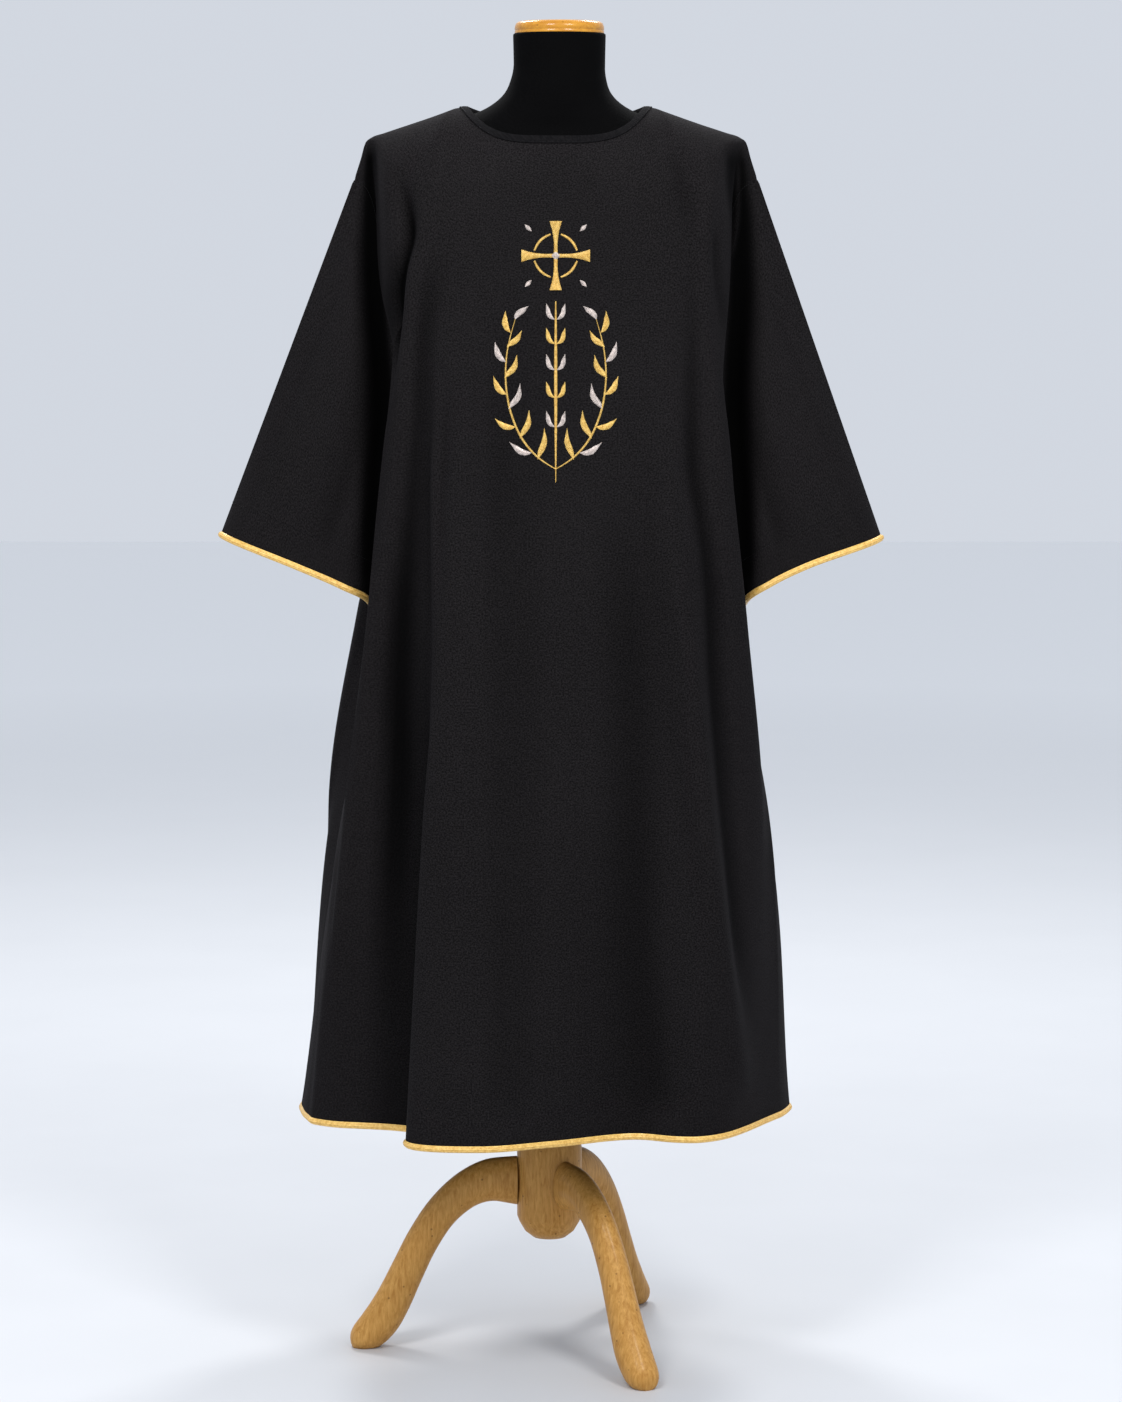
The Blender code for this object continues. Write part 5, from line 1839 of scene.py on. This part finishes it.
# ---- the dress form --------------------------------------
@dataclass
class DressForm:
    """The limbless form: jersey torso and neck, wooden cap, pole, hub and three legs."""

    workshop: Workshop
    finishes: Finishes
    sides: int = 96
    ring_steps: int = 5             # between two of the rings
    leg_sides: int = 36
    leg_steps: int = 73             # sections along a leg
    stand_axis: tuple = (-0.004, 0.016)
    neck_axis: float = 0.009        # the neck leans over to this x
    lean_start: float = 1.57
    lean_end: float = 1.65
    torso_bottom: float = 0.78
    neck_top: float = 1.6885
    pole_radius: float = 0.016
    hub_radius: float = 0.042
    leg_directions: tuple = (("leg_front", 29.3), ("leg_side", -86.5), ("leg_back", 151.4))
    # Rings of the torso and neck: (half width, height at the side, half depth, height in front).
    rings: tuple = (
        (0.156, torso_bottom, 0.101, torso_bottom), (0.166, 0.786, 0.11, 0.786),
        (0.174, 0.87, 0.117, 0.87), (0.168, 0.97, 0.112, 0.97), (0.15, 1.09, 0.098, 1.09),
        (0.16, 1.2, 0.104, 1.2), (0.18, 1.32, 0.11, 1.32), (0.193, 1.41, 0.108, 1.395),
        (0.204, 1.47, 0.102, 1.445), (0.21, 1.515, 0.096, 1.485), (0.209, 1.54, 0.088, 1.506),
        (0.203, 1.559, 0.08, 1.523), (0.19, 1.5696, 0.072, 1.538), (0.17, 1.5757, 0.065, 1.55),
        (0.148, 1.58, 0.06, 1.561), (0.125, 1.5832, 0.057, 1.57), (0.102, 1.5895, 0.056, 1.579),
        (0.082, 1.6, 0.056, 1.59), (0.068, 1.613, 0.0565, 1.605), (0.061, 1.628, 0.0565, 1.623),
        (0.0575, 1.65, 0.056, 1.648), (0.0582, neck_top - 0.003, 0.0575, neck_top - 0.003),
        (0.0565, neck_top, 0.0558, neck_top),
    )
    # Sections of a leg from the hub to the toe: (reach, height, half width, half height, lean).
    leg: tuple = (
        (hub_radius + SEAM_GAP, 0.218, 0.018, 0.032, 0.0), (0.07, 0.219, 0.0185, 0.029, -10.0),
        (0.105, 0.208, 0.0185, 0.0245, -32.0), (0.138, 0.18, 0.0185, 0.022, -50.0),
        (0.164, 0.142, 0.019, 0.0215, -60.0), (0.184, 0.102, 0.02, 0.022, -60.0),
        (0.201, 0.066, 0.0215, 0.0235, -54.0), (0.216, 0.04, 0.0228, 0.0248, -44.0),
        (0.231, 0.023, 0.0222, 0.024, -30.0), (0.243, 0.015, 0.0205, 0.0205, -20.0),
        (0.2515, 0.012, 0.017, 0.016, -12.0), (0.257, 0.0095, 0.0115, 0.0105, -8.0),
        (0.259, 0.0085, 0.005, 0.0045, -8.0),
    )
    hub: tuple = ((0.026, 0.292), (0.036, 0.286), (0.039, 0.272), (hub_radius, 0.262),
                  (hub_radius, 0.172), (0.039, 0.164), (0.032, 0.152), (0.022, 0.144))
    cap: tuple = ((0.047, 0.015), (0.0515, 0.0142), (0.0545, 0.012), (0.056, 0.0085),
                  (0.0563, 0.0044), (0.0557, 0.0036), (0.0557, 0.0031), (0.0563, 0.0023),
                  (0.056, 0.0))

    def build(self) -> None:
        """Make every piece of the form."""
        finishes = self.finishes
        mesh = self.workshop.loft("form_jersey", self._rings(), False)
        lay_weave_down(mesh)
        self.workshop.enter("form_jersey", mesh, finishes.jersey, "jersey", ("form_torso",))
        self._turned("neck_cap_wood", self.cap, (self.neck_axis, 0.0, self.neck_top + SEAM_GAP),
                     finishes.varnish, "beech", "neck_cap")
        stand = (*self.stand_axis, 0.0)
        ends = (self.torso_bottom - SEAM_GAP, self.hub[0][1] + SEAM_GAP)
        self._turned("form_pole_tube", tuple((self.pole_radius, end) for end in ends), stand,
                     finishes.steel, "steel", "form_pole")
        self._turned("stand_hub_wood", self.hub, stand, finishes.oiled, "beech", "stand_hub")
        for name, direction in self.leg_directions:
            mesh = self.workshop.loft(name + "_wood", self._leg(direction), False)
            self.workshop.enter(name + "_wood", mesh, finishes.oiled, "beech", (name,))

    def _rings(self) -> Array:
        """Rings of the torso and neck, lower at the front than over the shoulders.

        Returns:
            A grid of points, a row for each ring.
        """
        count = len(self.rings)
        places = np.concatenate([
            *(np.linspace(i, i + 1, self.ring_steps, endpoint=False) for i in range(count - 1)),
            [count - 1]])
        rows = smooth(np.arange(count), np.array(self.rings), places)
        angles = circle(self.sides)
        rings = []
        for half_width, side_height, half_depth, middle_height in rows:
            lean = (side_height - self.lean_start) / (self.lean_end - self.lean_start)
            axis = FORM_AXIS + (self.neck_axis - FORM_AXIS) * min(max(lean, 0.0), 1.0)
            lift = (side_height - middle_height) * np.cos(angles) ** 2
            rings.append(np.stack([
                axis + half_width * np.cos(angles), half_depth * np.sin(angles),
                middle_height + lift,
            ], axis=1))
        return np.array(rings)

    def _leg(self, direction: float) -> Array:
        """Rounded sections of one leg, with its sole cut flat on the floor.

        Args:
            direction: the leg's heading in degrees.

        Returns:
            A grid of points, a row for each section.
        """
        heading = math.radians(direction)
        ahead = np.array([math.sin(heading), -math.cos(heading), 0.0])
        aside = np.array([math.cos(heading), math.sin(heading), 0.0])
        up = np.array([0.0, 0.0, 1.0])
        angles = circle(self.leg_sides)[:, None]
        last = len(self.leg) - 1
        rows = smooth(np.arange(last + 1), np.array(self.leg), np.linspace(0, last, self.leg_steps))
        sections = []
        for reach, height, half_width, half_height, lean in rows:
            rise = up * math.cos(math.radians(lean)) - ahead * math.sin(math.radians(lean))
            centre = ahead * reach + up * height + (*self.stand_axis, 0.0)
            section = (centre + np.cos(angles) * aside * half_width
                       + np.sin(angles) * rise * half_height)
            section[:, 2] = section[:, 2].clip(0.0)
            sections.append(section)
        return np.array(sections)

    def _turned(self, name: str, profile: tuple, foot: tuple, finish: Material,
                slot: str, node: str) -> None:
        """A turned piece: its profile, top to bottom, spun round an upright axis.

        Args:
            name: the piece's name.
            profile: (radius, height) from the top to the bottom.
            foot: the point of the axis that its heights start from.
            finish: its material.
            slot: the material slot's name, handed on to Workshop.enter.
            node: the CAD node that it stands for.
        """
        angles = circle(self.sides)
        round_it = np.stack([np.cos(angles), np.sin(angles), np.zeros(self.sides)], axis=1)
        sections = np.array([
            round_it * radius + (foot[0], foot[1], foot[2] + level) for radius, level in profile])
        mesh = self.workshop.loft(name, sections, False)
        self.workshop.enter(name, mesh, finish, slot, (node,))


# ---- the studio ------------------------------------------
@dataclass
class Studio:
    """A pale floor, a soft sky, two soft lights in front, two behind, and the camera."""

    floor_half: float = 14.0
    floor_near: tuple = ((0.56, 0.57, 0.59), (0.61, 0.62, 0.64))   # the two tones of its mottling
    floor_far_painted_light: tuple = (0.94, 0.95, 0.96)
    floor_fade: tuple = (1.2, 8.0)    # how far out it turns to the far tone, painted paler where the lamps light it less
    floor_mottle: Noise = Noise(3.0, 4.0)
    floor_roughness: float = 0.55
    sky: tuple = (0.86, 0.91, 1.0, 1.0)
    sky_strength: float = 0.75
    # Lamps: name, place and watts.
    lamps: tuple = (("left_light", (-1.15, -2.6, 3.5), 62.0),
                    ("right_light", (1.25, -2.6, 3.5), 66.0),
                    ("back_left_light", (-1.2, 2.3, 3.8), 63.0),
                    ("back_right_light", (1.2, 2.3, 3.8), 63.0))
    lamp_size: tuple = (0.9, 1.1)
    lamp_target: tuple = (0.0, 0.0, 1.3)
    camera_place: tuple = (0.011, -5.35, 1.45)
    camera_dip: float = 6.45          # degrees below level
    lens: float = 108.18
    sensor: float = 36.0
    sight: float = 100.0              # the farthest that the camera sees

    def _floor(self) -> None:
        """A floor, painted paler far out where the lamps light it less, which isn't part of the
        object.
        """
        mesh, half = bpy.data.meshes.new("floor"), self.floor_half
        mesh.from_pydata([(-half, -half, 0), (half, -half, 0), (half, half, 0), (-half, half, 0)],
                         [], [(0, 1, 2, 3)])
        floor = placed("floor", mesh)
        material, sketch, shader = blank_material("pale_floor", (0.8, 0.8, 0.81))
        place = sketch.place()
        colour = sketch.blend(sketch.noise(place, self.floor_mottle), *self.floor_near)
        away = sketch.add("ShaderNodeVectorMath", {"Vector": place}, operation="LENGTH")
        # painted light: paler far out, making up for the lamps' light that falls off there
        far = sketch.spread(away.outputs["Value"], *self.floor_fade)
        sketch.fill(shader, {
            "Base Color": sketch.blend(far, colour, self.floor_far_painted_light),
            "Roughness": self.floor_roughness})
        mesh.materials.append(material)

    def _lamp(self, name: str, place: tuple, watts: float) -> None:
        """One rectangular soft light, aimed at the garment.

        Args:
            name: the lamp's name.
            place: where it stands.
            watts: its power.
        """
        lamp = bpy.data.lights.new(name, "AREA")
        lamp.shape = "RECTANGLE"
        lamp.size, lamp.size_y = self.lamp_size
        lamp.energy = watts
        holder = placed(name, lamp)
        aim = Vector(self.lamp_target) - Vector(place)
        holder.location = place
        holder.rotation_euler = aim.to_track_quat("-Z", "Y").to_euler()

    def _camera(self) -> None:
        """The camera, in front of the garment and a little above its middle."""
        data = bpy.data.cameras.new("camera")
        data.sensor_width = self.sensor
        data.lens = self.lens
        data.clip_end = self.sight
        camera = placed("camera", data)
        camera.location = self.camera_place
        camera.rotation_euler = (math.radians(90 - self.camera_dip), 0.0, 0.0)
        bpy.context.scene.camera = camera

    def build(self) -> None:
        """Light the scene and place the camera."""
        scene = bpy.context.scene
        scene.view_settings.view_transform = "Standard"
        world = bpy.data.worlds.new("studio")
        world.use_nodes = True
        Sketch(world.node_tree).fill(world.node_tree.nodes["Background"], {
            "Color": self.sky, "Strength": self.sky_strength})
        scene.world = world
        self._floor()
        for lamp in self.lamps:
            self._lamp(*lamp)
        self._camera()


def main() -> None:
    """Build the garment, the form and the studio."""
    logging.basicConfig(level=logging.INFO, format="%(name)s: %(message)s")
    workshop, finishes = Workshop(), Finishes()
    Studio().build()
    DressForm(workshop, finishes).build()
    Garment(workshop, finishes).build()


if __name__ == "__main__":
    main()
